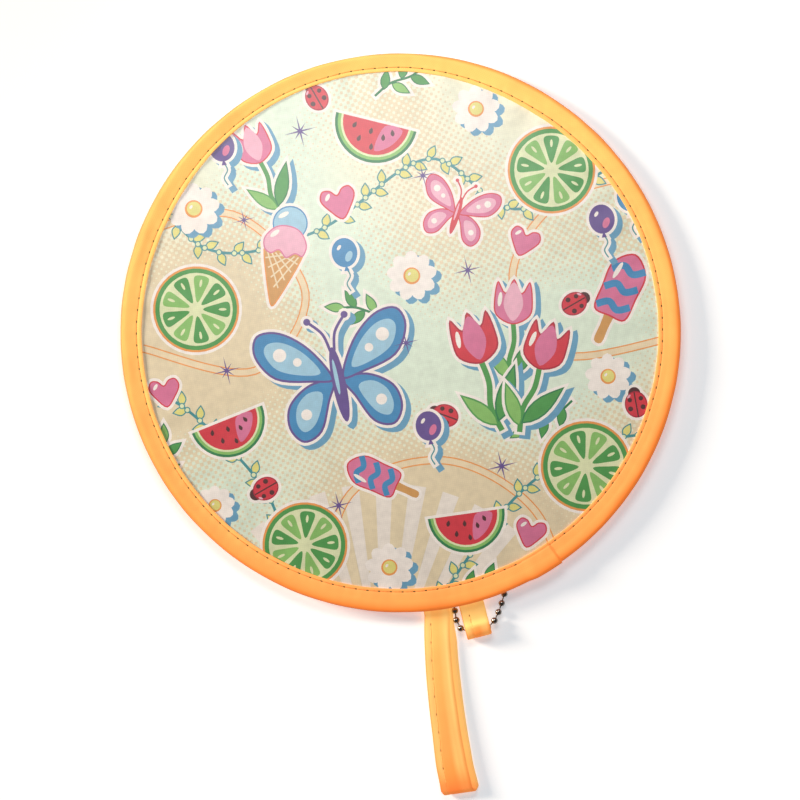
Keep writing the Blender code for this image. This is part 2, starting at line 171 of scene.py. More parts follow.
def calc(tree: Tree, operation: str, *values: Socket | float) -> Socket:
    """Return the result of one sum on numbers."""
    return add_node(tree, "ShaderNodeMath", {"operation": operation}, dict(enumerate(values))).outputs[0]


def measure(tree: Tree, operation: str, place: Socket, other: Sequence[float]) -> Socket:
    """Return the distance to a point, or the length along a direction."""
    settings = {"operation": operation}
    return add_node(tree, "ShaderNodeVectorMath", settings, {0: place, 1: other}).outputs["Value"]


def scaled(tree: Tree, colour: Socket | Sequence[float], by: Socket | float) -> Socket:
    """Make a colour lighter or darker."""
    settings = {"operation": "SCALE"}
    return add_node(tree, "ShaderNodeVectorMath", settings, {0: colour, "Scale": by}).outputs[0]


def ranged(tree: Tree, value: Socket, source: Point, target: Point = (0.0, 1.0)) -> Socket:
    """Turn a value that runs over the source range to one over the target range, clamped."""
    names = ("From Min", "From Max", "To Min", "To Max")
    inputs = {"Value": value} | dict(zip(names, source + target))
    return add_node(tree, "ShaderNodeMapRange", {}, inputs).outputs[0]


def mixed(tree: Tree, share: Socket | float, first: Socket | str, second: Socket | str) -> Socket:
    """Mix a share of the second colour into the first, each a socket or a hex colour."""
    one, two = (linear(c) if isinstance(c, str) else c for c in (first, second))
    inputs = {"Fac": share, "Color1": one, "Color2": two}
    return add_node(tree, "ShaderNodeMixRGB", {"blend_type": "MIX"}, inputs).outputs[0]


def cloud(tree: Tree, place: Socket, scale: float, detail: float, **more: float) -> Socket:
    """Return soft noise with about that many cells in a metre."""
    inputs = {"Vector": place, "Scale": scale, "Detail": detail} | more
    return add_node(tree, "ShaderNodeTexNoise", {}, inputs).outputs["Fac"]


def ribs(tree: Tree, place: Socket, way: str, spacing: float, **more: float) -> Socket:
    """Return slightly uneven bands that lie a spacing apart along a way."""
    inputs = {"Vector": place, "Scale": BAND_REPEAT / spacing} | more
    return add_node(tree, "ShaderNodeTexWave", {"bands_direction": way}, inputs).outputs["Fac"]


def bump(tree: Tree, height: Socket, strength: float, depth: float, **more: Socket) -> Socket:
    """Return a normal for fine relief."""
    inputs = {"Strength": strength, "Distance": depth, "Height": height} | more
    return add_node(tree, "ShaderNodeBump", {}, inputs).outputs[0]


def graded(tree: Tree, way: Socket, marks: Sequence[tuple[float, str | float]]) -> Socket:
    """Colour a way in metres through marks.

    Args:
        tree: The material's tree.
        way: The socket with the way.
        marks: Places in millimetres, each with a hex colour or a grey level.

    Returns:
        A socket with the colour.
    """
    span = marks[-1][0] * MM
    ramp = add_node(tree, "ShaderNodeValToRGB", {}, {"Fac": calc(tree, "DIVIDE", way, span)})
    stops = ramp.color_ramp.elements
    while len(stops) < len(marks):
        stops.new(0.5)
    for stop, (place, tone) in zip(stops, marks):
        stop.position = place * MM / span
        stop.color = linear(tone) if isinstance(tone, str) else (tone, tone, tone, 1.0)
    return ramp.outputs["Color"]


def smooth_step(value: float) -> float:
    """Return 0 to 1 with level ends, for a value that runs from 0 to 1."""
    value = min(max(value, 0.0), 1.0)
    return value * value * (3.0 - 2.0 * value)


def wander(*place: float) -> float:
    """Return a smooth irregular value from about -1 to 1 for up to three coordinates."""
    return noise.noise(Vector((*place, 0.0, 0.0)[:3]))


def wander_round(angle: float, pace: float, seed: float) -> float:
    """Return a smooth irregular value that closes on itself round the disc."""
    return wander(math.cos(angle) * pace, math.sin(angle) * pace, seed)


def bend_through(knots: Sequence[Vector], t: float) -> Vector:
    """Return the point at a share of the middle span of a smooth curve through four knots."""
    a, b, c, d = knots
    square, cube = a * 2 - b * 5 + c * 4 - d, b * 3 - a - c * 3 + d
    return (b * 2 + (c - a) * t + square * t**2 + cube * t**3) / 2


def around(values: Sequence[float], angle: float) -> float:
    """Read a value that is given at even steps round the disc, smoothly between the steps."""
    place = angle / TURN * len(values)
    step = math.floor(place)
    knots = [Vector((values[(step + k - 1) % len(values)], 0.0)) for k in range(4)]
    return bend_through(knots, place - step).x


def polar(radius: float, angle: float) -> Point:
    """Return the point at a radius and an angle."""
    return (radius * math.cos(angle), radius * math.sin(angle))


def circle(radius: float, count: int) -> Outline:
    """Return even points on a circle round zero."""
    return [polar(radius, TURN * k / count) for k in range(count)]


def link_up(name: str, mesh: bpy.types.Mesh) -> Piece:
    """Put a mesh into the scene as a piece."""
    piece = bpy.data.objects.new(name, mesh)
    bpy.context.scene.collection.objects.link(piece)
    return piece


def make_mesh(
    name: str, points: Sequence, faces: Sequence, finishes: Sequence[Material] = ()
) -> bpy.types.Mesh:
    """Make a smooth-shaded mesh.

    Args:
        name: The mesh's name.
        points: Its vertices.
        faces: Its faces, as rows of vertex numbers.
        finishes: Its materials, the first one on every face.

    Returns:
        The new mesh.
    """
    mesh = bpy.data.meshes.new(name)
    mesh.from_pydata([tuple(p) for p in points], [], faces)
    mesh.shade_smooth()
    for finish in finishes:
        mesh.materials.append(finish)
    return mesh


def skin_rows(rows: Sequence[Sequence[Vector]], closed: bool = False) -> tuple[list, list]:
    """Join rows of equally many points into a tube.

    Args:
        rows: The rings of points, one after the other.
        closed: Whether the last ring meets the first; otherwise both ends get a cap.

    Returns:
        The points and the faces.
    """
    count = len(rows[0])
    points = [point for row in rows for point in row]
    faces = []
    for i in range(len(rows) if closed else len(rows) - 1):
        here, there = i * count, (i + 1) % len(rows) * count
        for j in range(count):
            k = (j + 1) % count
            faces.append((here + j, here + k, there + k, there + j))
    if not closed:
        faces.append(tuple(reversed(range(count))))
        faces.append(tuple(range(len(points) - count, len(points))))
    return points, faces


@dataclass(frozen=True)
class Finish:
    """A surface: its name, colour and how it answers light."""

    name: str
    colour: str
    roughness: float
    metallic: float = 0.0

    def start(self) -> tuple[Material, Tree, Node]:
        """Make the material with its plain values, and return it with its tree and shader."""
        made = bpy.data.materials.new(self.name)
        made.use_nodes = True
        tree = made.node_tree
        shader = tree.nodes["Principled BSDF"]
        plain = {"Roughness": self.roughness, "Metallic": self.metallic}
        connect(tree, shader, {"Base Color": linear(self.colour)} | plain)
        return made, tree, shader


@dataclass(frozen=True)
class PrintedTaffeta(Finish):
    """Polyester taffeta, plain woven and heat-transfer printed.

    The tight flat weave gives a soft gloss and lets the inks sit inside the threads, so the
    print looks slightly mottled. The threads of the real cloth lie 0.25 mm apart, too fine for
    the render, so they are drawn 0.7 mm apart.
    """

    thread: float = 0.7 * MM
    screen: float = 1.9 * MM
    screen_turn: float = math.radians(37.0)
    mint: str = "#E4F6E4"
    cream: str = "#F5F4DA"
    sand: str = "#E9DAB8"
    sand_cover: float = 0.85
    show_through: float = 0.0

    def build(self) -> Material:
        """Build the finish from the ink that each face carries."""
        made, tree, shader = self.start()
        place = object_place(tree)
        ink = add_node(tree, "ShaderNodeAttribute", {"attribute_name": "ink"}, {}).outputs
        inked = mixed(tree, ink["Alpha"], ink["Color"], self.ground(tree, place))
        threads = self.weave(tree, place)
        mottle = ranged(tree, cloud(tree, place, 420.0, 3.0), (0.3, 0.7), (0.93, 1.05))
        rubbed = ranged(tree, threads, (0.0, 1.0), (0.95, 1.02))
        printed = scaled(tree, inked, calc(tree, "MULTIPLY", mottle, rubbed))
        look = {
            "Base Color": mixed(tree, self.show_through, printed, self.colour),
            "Normal": bump(tree, threads, 0.25, 0.06 * MM),
            "Sheen Weight": 0.15,
            "Sheen Roughness": 0.4,
            "IOR": 1.54,
        }
        connect(tree, shader, look)
        return made

    def ground(self, tree: Tree, place: Socket) -> Socket:
        """Tint the unprinted cloth: mint that turns cream, with sand laid on in halftone dots."""
        creamy = ranged(tree, cloud(tree, place, 9.0, 1.0), (0.42, 0.58))
        dots = calc(tree, "MULTIPLY", self.halftone(tree, place), self.sand_cover)
        return mixed(tree, dots, mixed(tree, creamy, self.mint, self.cream), self.sand)

    def halftone(self, tree: Tree, place: Socket) -> Socket:
        """Draw dots on a slanted screen that grow until they leave only gaps; 1 is in a dot."""
        turn = {"Rotation": (0.0, 0.0, self.screen_turn), "Scale": (TURN / self.screen,) * 3}
        turned = add_node(tree, "ShaderNodeMapping", {}, {"Vector": place} | turn).outputs[0]
        ways = add_node(tree, "ShaderNodeSeparateXYZ", {}, {"Vector": turned}).outputs
        screen = calc(tree, "ADD", *(calc(tree, "COSINE", ways[way]) for way in "XY"))
        lean = measure(tree, "DOT_PRODUCT", place, (-0.6, -0.8, 0.0))
        cover = calc(tree, "ADD", cloud(tree, place, 13.0, 0.5), lean)
        level = ranged(tree, cover, (0.38, 0.62), (2.3, -2.3))
        return ranged(tree, calc(tree, "SUBTRACT", screen, level), (-0.4, 0.4))

    def weave(self, tree: Tree, place: Socket) -> Socket:
        """Cross two rows of threads; the height runs from 0 to 1."""
        uneven = {"Distortion": 0.6, "Detail": 1.0, "Detail Scale": 2.0}
        return calc(tree, "MULTIPLY", *(ribs(tree, place, way, self.thread, **uneven) for way in "XY"))


@dataclass(frozen=True)
class BiasTape(Finish):
    """Polyester satin tape in a fluorescent orange, cut on the bias, folded and pressed.

    The tape has a painted glow: it gives off light of its own though it is no lamp, which lifts
    its shade and keeps its shadows saturated. Its colour also holds painted shade at its rim and
    folds, painted light on one side and painted highlight streaks. The threads cross the tape at
    45 degrees. The real ones lie 0.2 mm apart, and are drawn 0.6 mm apart to show.
    """

    thread: float = 0.6 * MM
    # painted glow: a constant orange light that the tape gives off though it is no lamp
    glow: str = "#FF8630"
    glow_strength: float = 0.35
    # share of the tape's own colour given off as painted glow, lifting its shade; the base keeps the rest
    painted_dye_glow: float = 0.0
    across: bool = True
    # colours across or along the tape, holding painted shade at the hem's rim and the loops' folds, and
    # painted light on the strap's lower leg
    shade_tones: tuple[tuple[float, str], ...] = ()
    # painted light: a paler colour on the hem's side towards the lamps
    lit_side_colour: str = "#FFE07E"
    lit_side_share: float = 0.0
    lit_side_way: float = math.radians(113.0)
    lit_side_reach: Point = (-60 * MM, 105 * MM)
    # painted highlight: pale streaks along the strap and tab where their creases catch the light
    highlight_streak_colour: str = "#FFE490"
    highlight_streaks: float = 0.0
    highlight_streak_ends: Point = (62 * MM, 69 * MM)
    highlight_bands: tuple[tuple[float, float], ...] = (
        (0.0, 0.0), (1.2, 1.0), (2.3, 0.9), (3.3, 0.1), (5.5, 0.0), (7.0, 0.7),
        (8.2, 1.0), (9.5, 0.2), (10.4, 1.0), (11.4, 0.9), (12.6, 0.1), (14.0, 0.2),
    )  # fmt: skip
    # painted shade on the tape's rounded folded edge
    edge: str = "#E06C2A"

    def paint_streaks_and_edge_shade(self, tree: Tree, along: Socket, ways: dict[str, Socket], dyed: Socket) -> Socket:
        """Paint highlights as pale streaks along the tape, where its creases catch the light, and painted
        shade on its rounded folded edge.

        Args:
            tree: The material's tree.
            along: The socket with the place along and across the tape.
            ways: The same as single sockets, X along and Y across.
            dyed: The socket with the tape's colour and its painted shade, before the streaks.

        Returns:
            A socket with the colour.
        """
        drawn_out = {"Vector": along, "Scale": (14.0, 330.0, 1.0)}
        stretched = add_node(tree, "ShaderNodeMapping", {}, drawn_out).outputs[0]
        uneven = ranged(tree, cloud(tree, stretched, 1.0, 1.5), (0.38, 0.6), (0.45, self.highlight_streaks))
        bands = calc(tree, "MULTIPLY", uneven, graded(tree, ways["Y"], self.highlight_bands))
        share = calc(tree, "MULTIPLY", bands, ranged(tree, ways["X"], self.highlight_streak_ends, (1.0, 0.2)))
        # painted shade that darkens the tape's rounded edge
        edge_shade = ranged(tree, ways["Y"], (0.45 * MM, 1.0 * MM), (0.75, 0.0))
        return mixed(tree, edge_shade, mixed(tree, share, dyed, self.highlight_streak_colour), self.edge)

    def paint_lit_side(self, tree: Tree, across: Socket, dyed: Socket) -> Socket:
        """Paint light on the hem's side towards the lamps as a paler colour, the tape's outer edge least."""
        way = (math.cos(self.lit_side_way), math.sin(self.lit_side_way), 0.0)
        lean = measure(tree, "DOT_PRODUCT", object_place(tree), way)
        share = ranged(tree, lean, self.lit_side_reach, (0.0, self.lit_side_share))
        face = ranged(tree, across, (0.2 * MM, 1.8 * MM), (0.25, 1.0))
        return mixed(tree, calc(tree, "MULTIPLY", share, face), dyed, self.lit_side_colour)

    def paint_glow(self, tree: Tree, dyed: Socket) -> dict[str, Socket | float]:
        """Paint a glow: the tape gives off part of its colour and a constant orange as light though it is no
        lamp; return the rest as its base colour.
        """
        given = (self.painted_dye_glow,) * 3
        always = tuple(channel * self.glow_strength for channel in linear(self.glow)[:3])
        light = {0: dyed, 1: given, 2: always}
        both = add_node(tree, "ShaderNodeVectorMath", {"operation": "MULTIPLY_ADD"}, light).outputs[0]
        left = scaled(tree, dyed, 1.0 - self.painted_dye_glow)
        return {"Emission Color": both, "Emission Strength": 1.0, "Base Color": left}

    def build(self) -> Material:
        """Build the finish; it reads the UV map, in metres along and across the tape."""
        made, tree, shader = self.start()
        along = add_node(tree, "ShaderNodeUVMap", {"uv_map": "tape"}, {}).outputs[0]
        ways = add_node(tree, "ShaderNodeSeparateXYZ", {}, {"Vector": along}).outputs
        slant = {"Vector": along, "Rotation": (0.0, 0.0, math.radians(45.0))}
        turned = add_node(tree, "ShaderNodeMapping", {}, slant).outputs[0]
        crossed = (ribs(tree, turned, way, self.thread, Distortion=0.8, Detail=1.0) for way in "XY")
        threads = calc(tree, "MAXIMUM", *crossed)
        patches = ranged(tree, cloud(tree, object_place(tree), 90.0, 4.0), (0.25, 0.75), (0.9, 1.08))
        lines = ranged(tree, threads, (0.0, 1.0), (0.9, 1.02))
        # painted shade at the rim and folds, and painted light on the strap's lower leg
        tint = graded(tree, ways["Y" if self.across else "X"], self.shade_tones)
        if self.highlight_streaks:
            tint = self.paint_streaks_and_edge_shade(tree, along, ways, tint)
        # dyed carries the tape's colour with painted shade, painted light and painted highlights
        dyed = scaled(tree, self.paint_lit_side(tree, ways["Y"], tint), calc(tree, "MULTIPLY", patches, lines))
        fine = bump(tree, threads, 0.3, 0.06 * MM)
        creases = cloud(tree, along, 260.0, 3.0, Distortion=0.4)
        look = self.paint_glow(tree, dyed) | {
            "Normal": bump(tree, creases, 0.35, 0.25 * MM, Normal=fine),
            "Specular IOR Level": 0.3,
            "Sheen Weight": 0.15,
            "Sheen Roughness": 0.4,
            "Sheen Tint": linear("#FFE9B8"),
        }
        connect(tree, shader, look)
        return made


@dataclass(frozen=True)
class SewingThread(Finish):
    """Spun polyester sewing thread, two strands twisted together, dyed like the tape.

    The twist shows as fine slanted lines. The real one has a turn every 0.6 mm, drawn as it is.
    It can have a painted glow, light it gives off though it is no lamp, which lifts its shade.
    """

    twist: float = 0.6 * MM
    # painted glow of the thread, which lifts its shade
    glow: str = "#FF8C38"
    glow_strength: float = 0.0

    def build(self) -> Material:
        """Build the finish."""
        made, tree, shader = self.start()
        twist = ribs(tree, object_place(tree), "DIAGONAL", self.twist, Distortion=1.0)
        tone = ranged(tree, twist, (0.0, 1.0), (0.7, 1.1))
        look = {
            "Base Color": scaled(tree, linear(self.colour)[:3], tone),
            "Normal": bump(tree, twist, 0.4, 0.05 * MM),
            "Emission Color": linear(self.glow),
            "Emission Strength": self.glow_strength,
        }
        connect(tree, shader, look)
        return made


@dataclass(frozen=True)
class PlatedMetal(Finish):
    """Bright nickel plate or rolled steel, slightly dulled by handling.

    Noise of about the grain size varies the gloss, and finer noise leaves faint marks.
    """

    grain: float = 0.5 * MM
    stain: str = "#8C7A6A"

    def build(self) -> Material:
        """Build the finish."""
        made, tree, shader = self.start()
        place = object_place(tree)
        dulled = cloud(tree, place, 1 / self.grain / 4, 4.0)
        marks = cloud(tree, place, 1 / self.grain, 5.0)
        stained = ranged(tree, dulled, (0.5, 0.8), (0.0, 0.35))
        look = {
            "Roughness": ranged(tree, dulled, (0.3, 0.7), (self.roughness * 0.7, self.roughness * 1.5)),
            "Base Color": mixed(tree, stained, self.colour, self.stain),
            "Normal": bump(tree, marks, 0.08, 0.02 * MM),
        }
        connect(tree, shader, look)
        return made


@dataclass(frozen=True)
class StudioPaper(Finish):
    """Matt white background paper, brightened where the lamps reach it less.

    To the camera the open paper is plain white, and a shadow on it stays grey.
    """

    lit_spot: tuple[float, float, float] = (-0.1, 0.2, 0.0)
    reach: float = 0.82
    levels: Point = (0.08, 1.15)
    lift: str = "#EFF7FF"

    def build(self) -> Material:
        """Build the finish."""
        made, tree, shader = self.start()
        path = add_node(tree, "ShaderNodeLightPath", {}, {}).outputs
        seen = calc(tree, "MAXIMUM", path["Is Camera Ray"], path["Is Glossy Ray"])
        clear = calc(tree, "MAXIMUM", seen, path["Is Transmission Ray"])
        away = measure(tree, "DISTANCE", object_place(tree), self.lit_spot)
        strength = calc(tree, "MULTIPLY", clear, ranged(tree, away, (0.0, self.reach), self.levels))
        light = {"Color": linear(self.lift), "Strength": strength}
        white = add_node(tree, "ShaderNodeEmission", {}, light).outputs[0]
        both = add_node(tree, "ShaderNodeAddShader", {}, {0: shader.outputs[0], 1: white}).outputs[0]
        connect(tree, tree.nodes["Material Output"], {"Surface": both})
        return made


@dataclass
class Stance:
    """How the fan's disc lies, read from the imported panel."""

    panel: str = "fan_panel"
    cloth: float = 0.3 * MM
    matrix: Matrix = field(init=False)

    def __post_init__(self) -> None:
        """Work out the frame of the disc, its Z axis off the cloth."""
        low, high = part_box(self.panel)
        centre = (Vector(low) + Vector(high)) / 2
        tilt = math.atan2(high[2] - low[2] - self.cloth, high[1] - low[1])
        self.matrix = Matrix.Translation(centre) @ Matrix.Rotation(-tilt, 4, "X")

    def place(self, radius: float, angle: float, height: float) -> Vector:
        """Return the world point at a radius and angle of the disc, at a height off it."""
        return self.matrix @ Vector((*polar(radius, angle), height))


def placed(outline: Outline, x: float, y: float, turn: float, size: float = 1.0) -> Outline:
    """Return an outline scaled, turned by degrees and moved to a place."""
    c, s = size * math.cos(math.radians(turn)), size * math.sin(math.radians(turn))
    return [(x + u * c - v * s, y + u * s + v * c) for u, v in outline]


def oval(x: float, y: float, long: float, short: float, turn: float = 0.0, count: int = 24) -> Outline:
    """Return an ellipse's outline, its long axis turned by degrees."""
    return placed([(long * u, short * v) for u, v in circle(1.0, count)], x, y, turn)


def disc(x: float, y: float, radius: float, count: int = 28) -> Outline:
    """Return a circle's outline."""
    return oval(x, y, radius, radius, 0.0, count)


def leaf(x: float, y: float, length: float, width: float, turn: float) -> Outline:
    """Return a pointed leaf that grows from a point in the direction of turn, in degrees."""
    steps, edge = 7, []
    for i in range(steps + 1):
        edge.append((length * i / steps, width / 2 * math.sin(math.pi * (i / steps) ** 0.8)))
    return placed([(u, -v) for u, v in edge] + edge[-2:0:-1], x, y, turn)


def flipped(points: Outline) -> Outline:
    """Return points mirrored to the left, their order reversed."""
    return [(-x, y) for x, y in reversed(points)]


def smoothed(knots: Outline, per_span: int) -> Outline:
    """Return a smooth curve from the second knot up to, but without, the last but one."""
    points = []
    for i in range(len(knots) - 3):
        near = [Vector(knot) for knot in knots[i : i + 4]]
        points += [tuple(bend_through(near, step / per_span)) for step in range(per_span)]
    return points


def rounded(corners: Outline, per_span: int = 5) -> Outline:
    """Return a smooth closed curve through a few points, given anticlockwise."""
    return smoothed([corners[-1], *corners, *corners[:2]], per_span)


def open_curve(knots: Outline, per_span: int = 6) -> Outline:
    """Return a smooth open curve through a few points."""
    return smoothed([knots[0], *knots, knots[-1]], per_span) + [tuple(knots[-1])]


def band(curve: Outline, width: float) -> Outline:
    """Return the outline of a band of one width along an open curve."""
    left, right = [], []
    for i, here in enumerate(curve):
        before, after = Vector(curve[max(i - 1, 0)]), Vector(curve[min(i + 1, len(curve) - 1)])
        way = (after - before).normalized()
        side = Vector((-way.y, way.x)) * width / 2
        left.append((here[0] + side.x, here[1] + side.y))
        right.append((here[0] - side.x, here[1] - side.y))
    return right + left[::-1]


def grow(outline: Outline, by: float, sharp: float = 0.2, least: float = 0.45) -> Outline:
    """Move an anticlockwise outline outwards.

    Args:
        outline: The outline.
        by: How far it moves; inwards if this is below zero.
        sharp: The sum of both sides' normals under which a corner counts as a spike.
        least: The least share by which a corner's move is divided, which keeps spikes short.

    Returns:
        The new outline.
    """
    points, count = [], len(outline)
    for i in range(count):
        before, here, after = (Vector(outline[(i + k - 1) % count]) for k in range(3))
        first, second = (here - before).normalized(), (after - here).normalized()
        out = Vector((first.y + second.y, -first.x - second.x))
        if out.length < sharp:
            out = first - second
        out.normalize()
        spread = max(out.x * first.y - out.y * first.x, least)
        points.append((here.x + out.x * by / spread, here.y + out.y * by / spread))
    return points


@dataclass
class Stamp:
    """One motif of the print: its shapes in the order they are printed."""

    shapes: list[tuple[Outline, Ink]] = field(default_factory=list)
    bodies: list[Outline] = field(default_factory=list)

    def body(self, outline: Outline, ink: Ink, rim: Ink | None = None, rim_width: float = 0.45) -> None:
        """Add a shape that belongs to the silhouette, with a darker rim if one is named."""
        self.bodies.append(outline)
        if rim is not None:
            self.mark(outline, rim)
            outline = grow(outline, -rim_width)
        self.mark(outline, ink)

    def mark(self, outline: Outline, ink: Ink) -> None:
        """Add a shape on top that the silhouette leaves out."""
        self.shapes.append((outline, ink))


def lime_slice() -> Stamp:
    """Draw a round slice of lime, 28 mm across."""
    stamp = Stamp()
    stamp.body(disc(0, 0, 14, 40), Ink.APRICOT)
    stamp.mark(disc(0, 0, 13.3, 40), Ink.LEAF)
    stamp.mark(disc(0, 0, 11.9, 36), Ink.PITH)
    segments = 9
    wedge = ((2.2, 0.0), (7.0, -0.72), (10.6, -0.66), (11.1, 0.0), (10.6, 0.66), (7.0, 0.72))
    for i in range(segments):
        middle = TURN * i / segments
        corners = [polar(radius, middle + math.pi / segments * share) for radius, share in wedge]
        stamp.mark(rounded(corners, 4), Ink.LIME if i % 2 else Ink.LEAF)
        stamp.mark(oval(*polar(8.6, middle), 1.3, 0.45, math.degrees(middle), 10), Ink.PITH)
    return stamp


def melon_wedge() -> Stamp:
    """Draw a half slice of watermelon, 27 mm wide."""
    stamp = Stamp()
    arc = [math.pi + math.pi * i / 20 for i in range(21)]
    halves = [[(r * math.cos(a), 5.0 + r * math.sin(a)) for a in arc] for r in (13.5, 12.6, 11.6, 10.9)]
    stamp.body(halves[0], Ink.FOREST)
    for half, ink in zip(halves[1:], (Ink.LIME, Ink.PITH, Ink.RED)):
        stamp.mark(half, ink)
    stamp.mark(rounded([(1.5, -4.2), (6.5, -1.5), (9.0, 4.2), (3.0, 4.2)]), Ink.ROSE)
    left_seeds = ((-7.0, 1.4, 70), (-4.4, -2.6, 80), (-1.0, 0.6, 88))
    right_seeds = ((0.4, -4.4, 95), (3.6, -0.6, 100), (6.4, 1.6, 110))
    for x, y, turn in left_seeds + right_seeds:
        stamp.mark(leaf(x, y, 2.3, 1.3, turn), Ink.COCOA)
    return stamp


def tulip(petal: Ink, light: Ink, rim: Ink) -> Stamp:
    """Draw a tulip with its stem and two leaves, 34 mm high."""
    stamp = Stamp()
    stamp.body(band(open_curve([(0.4, -19), (-0.8, -12), (0.6, -5), (0, 2)]), 1.6), Ink.LEAF)
    stamp.body(leaf(0.0, -16.5, 17.0, 5.2, 58), Ink.LEAF, Ink.FOREST)
    stamp.body(leaf(0.0, -17.5, 14.0, 4.6, 126), Ink.LIME, Ink.LEAF)
    right = [(5.6, 3.4), (6.3, 9.0), (5.2, 14.6), (2.6, 10.8)]
    cup = [(0, 0.5), *right, (0, 15.4), *flipped(right)]
    stamp.body(rounded(cup, 4), petal, rim)
    right = [(3.0, 6.0), (2.5, 10.6)]
    stamp.mark(rounded([(0, 1.6), *right, (0, 14.2), *flipped(right)], 4), light)
    stamp.mark(oval(-4.4, 8.6, 2.4, 0.7, 84, 12), Ink.WHITE)
    return stamp


def daisy(petals: Ink, heart: Ink) -> Stamp:
    """Draw a daisy, 15 mm across."""
    stamp = Stamp()
    for i in range(9):
        turn = 40.0 * i
        stamp.body(oval(*polar(4.7, math.radians(turn)), 2.9, 1.55, turn, 14), petals)
    stamp.mark(disc(0, 0, 2.9, 20), Ink.APRICOT)
    stamp.mark(disc(0.1, 0.1, 2.3, 18), heart)
    stamp.mark(oval(-0.7, 0.8, 0.7, 0.45, 40, 10), Ink.WHITE)
    return stamp


def butterfly(wing: Ink, light: Ink, rim: Ink, spot: Ink) -> Stamp:
    """Draw a butterfly, 40 mm across its wings."""
    stamp = Stamp()
    upper = [(1.0, 1.0), (6.5, 1.2), (15.5, 3.8), (19.6, 10.4), (18.0, 15.6), (12.0, 15.2), (5.4, 9.6)]
    lower = [(1, 0.6), (3.2, -4.4), (6.6, -11.4), (11.6, -13.2), (14.6, -9.0), (13.4, -3.2), (7.4, 0.9)]
    field_up = [(4, 3.2), (9, 3.6), (14.6, 6.2), (16.9, 10.6), (15.6, 13.0), (11.6, 12.4), (7.0, 8.6)]
    field_low = [(4.6, -2.2), (7.4, -8.6), (10.8, -10.6), (12.4, -8.0), (11.4, -3.8), (8.0, -1.2)]
    for side in (1, -1):
        for shape in (lower, upper):
            stamp.body(rounded(shape if side > 0 else flipped(shape)), wing, rim, 0.55)
        for shape in (field_up, field_low):
            stamp.mark(rounded(shape if side > 0 else flipped(shape)), light)
        for x, y, radius, count in ((13.2, 9.6, 1.7, 16), (9.2, 7.0, 1.1, 14), (9.6, -6.4, 1.4, 14)):
            stamp.mark(disc(side * x, y, radius, count), spot)
        feeler = open_curve([(side * 0.5, 8.0), (side * 1.6, 12.6), (side * 4.6, 16.2)])
        stamp.body(band(feeler, 0.7), rim)
        stamp.body(disc(side * 4.8, 16.4, 0.9, 12), rim)
    stamp.body(oval(0, -0.6, 9.6, 1.7, 90, 24), rim)
    stamp.mark(oval(-0.4, 1.4, 4.6, 0.5, 90, 12), light)
    return stamp


def ice_lolly() -> Stamp:
    """Draw a striped ice lolly on a stick, 34 mm long."""
    stamp = Stamp()
    stick = [(-1.3, -17), (1.3, -17), (1.4, -12), (1.4, -6), (-1.4, -6), (-1.4, -12)]
    stamp.body(rounded(stick, 3), Ink.WAFFLE)
    block = [(-5.4, -7.6), (0, -8.2), (5.4, -7.6), (6, 0), (5.8, 8.4), (0, 13.4), (-5.8, 8.4), (-6, 0)]
    stamp.body(rounded(block), Ink.ROSE, Ink.RED, 0.55)
    for low in (-5.6, 0.6, 6.8):
        stripe = [(-5.1, low - 0.6), (-1.8, low + 1.8), (1.6, low + 0.2), (5.1, low + 2.6)]
        stamp.mark(band(open_curve(stripe), 2.3), Ink.BLUE)
    stamp.mark(oval(-3.2, 6.4, 3.0, 0.75, 82, 12), Ink.WHITE)
    return stamp


def ice_cone() -> Stamp:
    """Draw an ice-cream cone with two scoops, 36 mm high."""
    stamp = Stamp()
    right = [(2.4, -14), (6.6, -1.2), (5.8, 0.6)]
    stamp.body(rounded([(0, -18.5), *right, (0, 1.2), *flipped(right)], 4), Ink.WAFFLE, Ink.APRICOT)
    for i in range(4):
        for side in (-1, 1):
            groove = [(side * (5.6 - 1.6 * i), -2.6 - 3.1 * i), (side * (-1.2 - 1.4 * i), -0.2)]
            stamp.mark(band(groove, 0.5), Ink.BUFF)
    stamp.body(disc(0.2, 10.6, 6.0, 28), Ink.SKY, Ink.BLUE)
    frill = [(-6.8, 0.6), (-4.2, -0.8), (-1.6, 0.8), (1.2, -1.4), (4.0, 0.6), (6.8, 0.2)]
    scoop = frill + [(7.4, 4.4), (4.4, 8.6), (0, 9.8), (-4.4, 8.6), (-7.4, 4.4)]
    stamp.body(rounded(scoop, 4), Ink.BLUSH, Ink.ROSE)
    stamp.mark(oval(-2.6, 13.0, 2.0, 0.8, 40, 12), Ink.WHITE)
    stamp.mark(oval(-4.2, 6.2, 1.9, 0.8, 50, 12), Ink.WHITE)
    return stamp


def heart(ink: Ink, rim: Ink) -> Stamp:
    """Draw a heart, 11 mm wide."""
    stamp = Stamp()
    right = [(3.6, -1.6), (5.6, 2.0), (4.4, 4.8), (1.9, 4.6)]
    stamp.body(rounded([(0, -5.2), *right, (0, 2.8), *flipped(right)], 4), ink, rim)
    stamp.mark(oval(-3.0, 2.7, 1.3, 0.6, 50, 10), Ink.WHITE)
    return stamp


def ladybird() -> Stamp:
    """Draw a ladybird from above, 11 mm long."""
    stamp = Stamp()
    stamp.body(disc(0, 4.3, 2.3, 18), Ink.COCOA)
    stamp.body(oval(0, 0, 5.0, 4.3, 90, 26), Ink.RED, Ink.CRIMSON)
    stamp.mark(band([(0, -4.8), (0, 4.6)], 0.5), Ink.COCOA)
    for side in (1, -1):
        stamp.mark(disc(side * 2.1, 2.0, 0.85, 12), Ink.COCOA)
        stamp.mark(disc(side * 2.4, -1.3, 0.95, 12), Ink.COCOA)
    stamp.mark(oval(-2.2, 3.4, 0.9, 0.4, 40, 10), Ink.BLUSH)
    return stamp


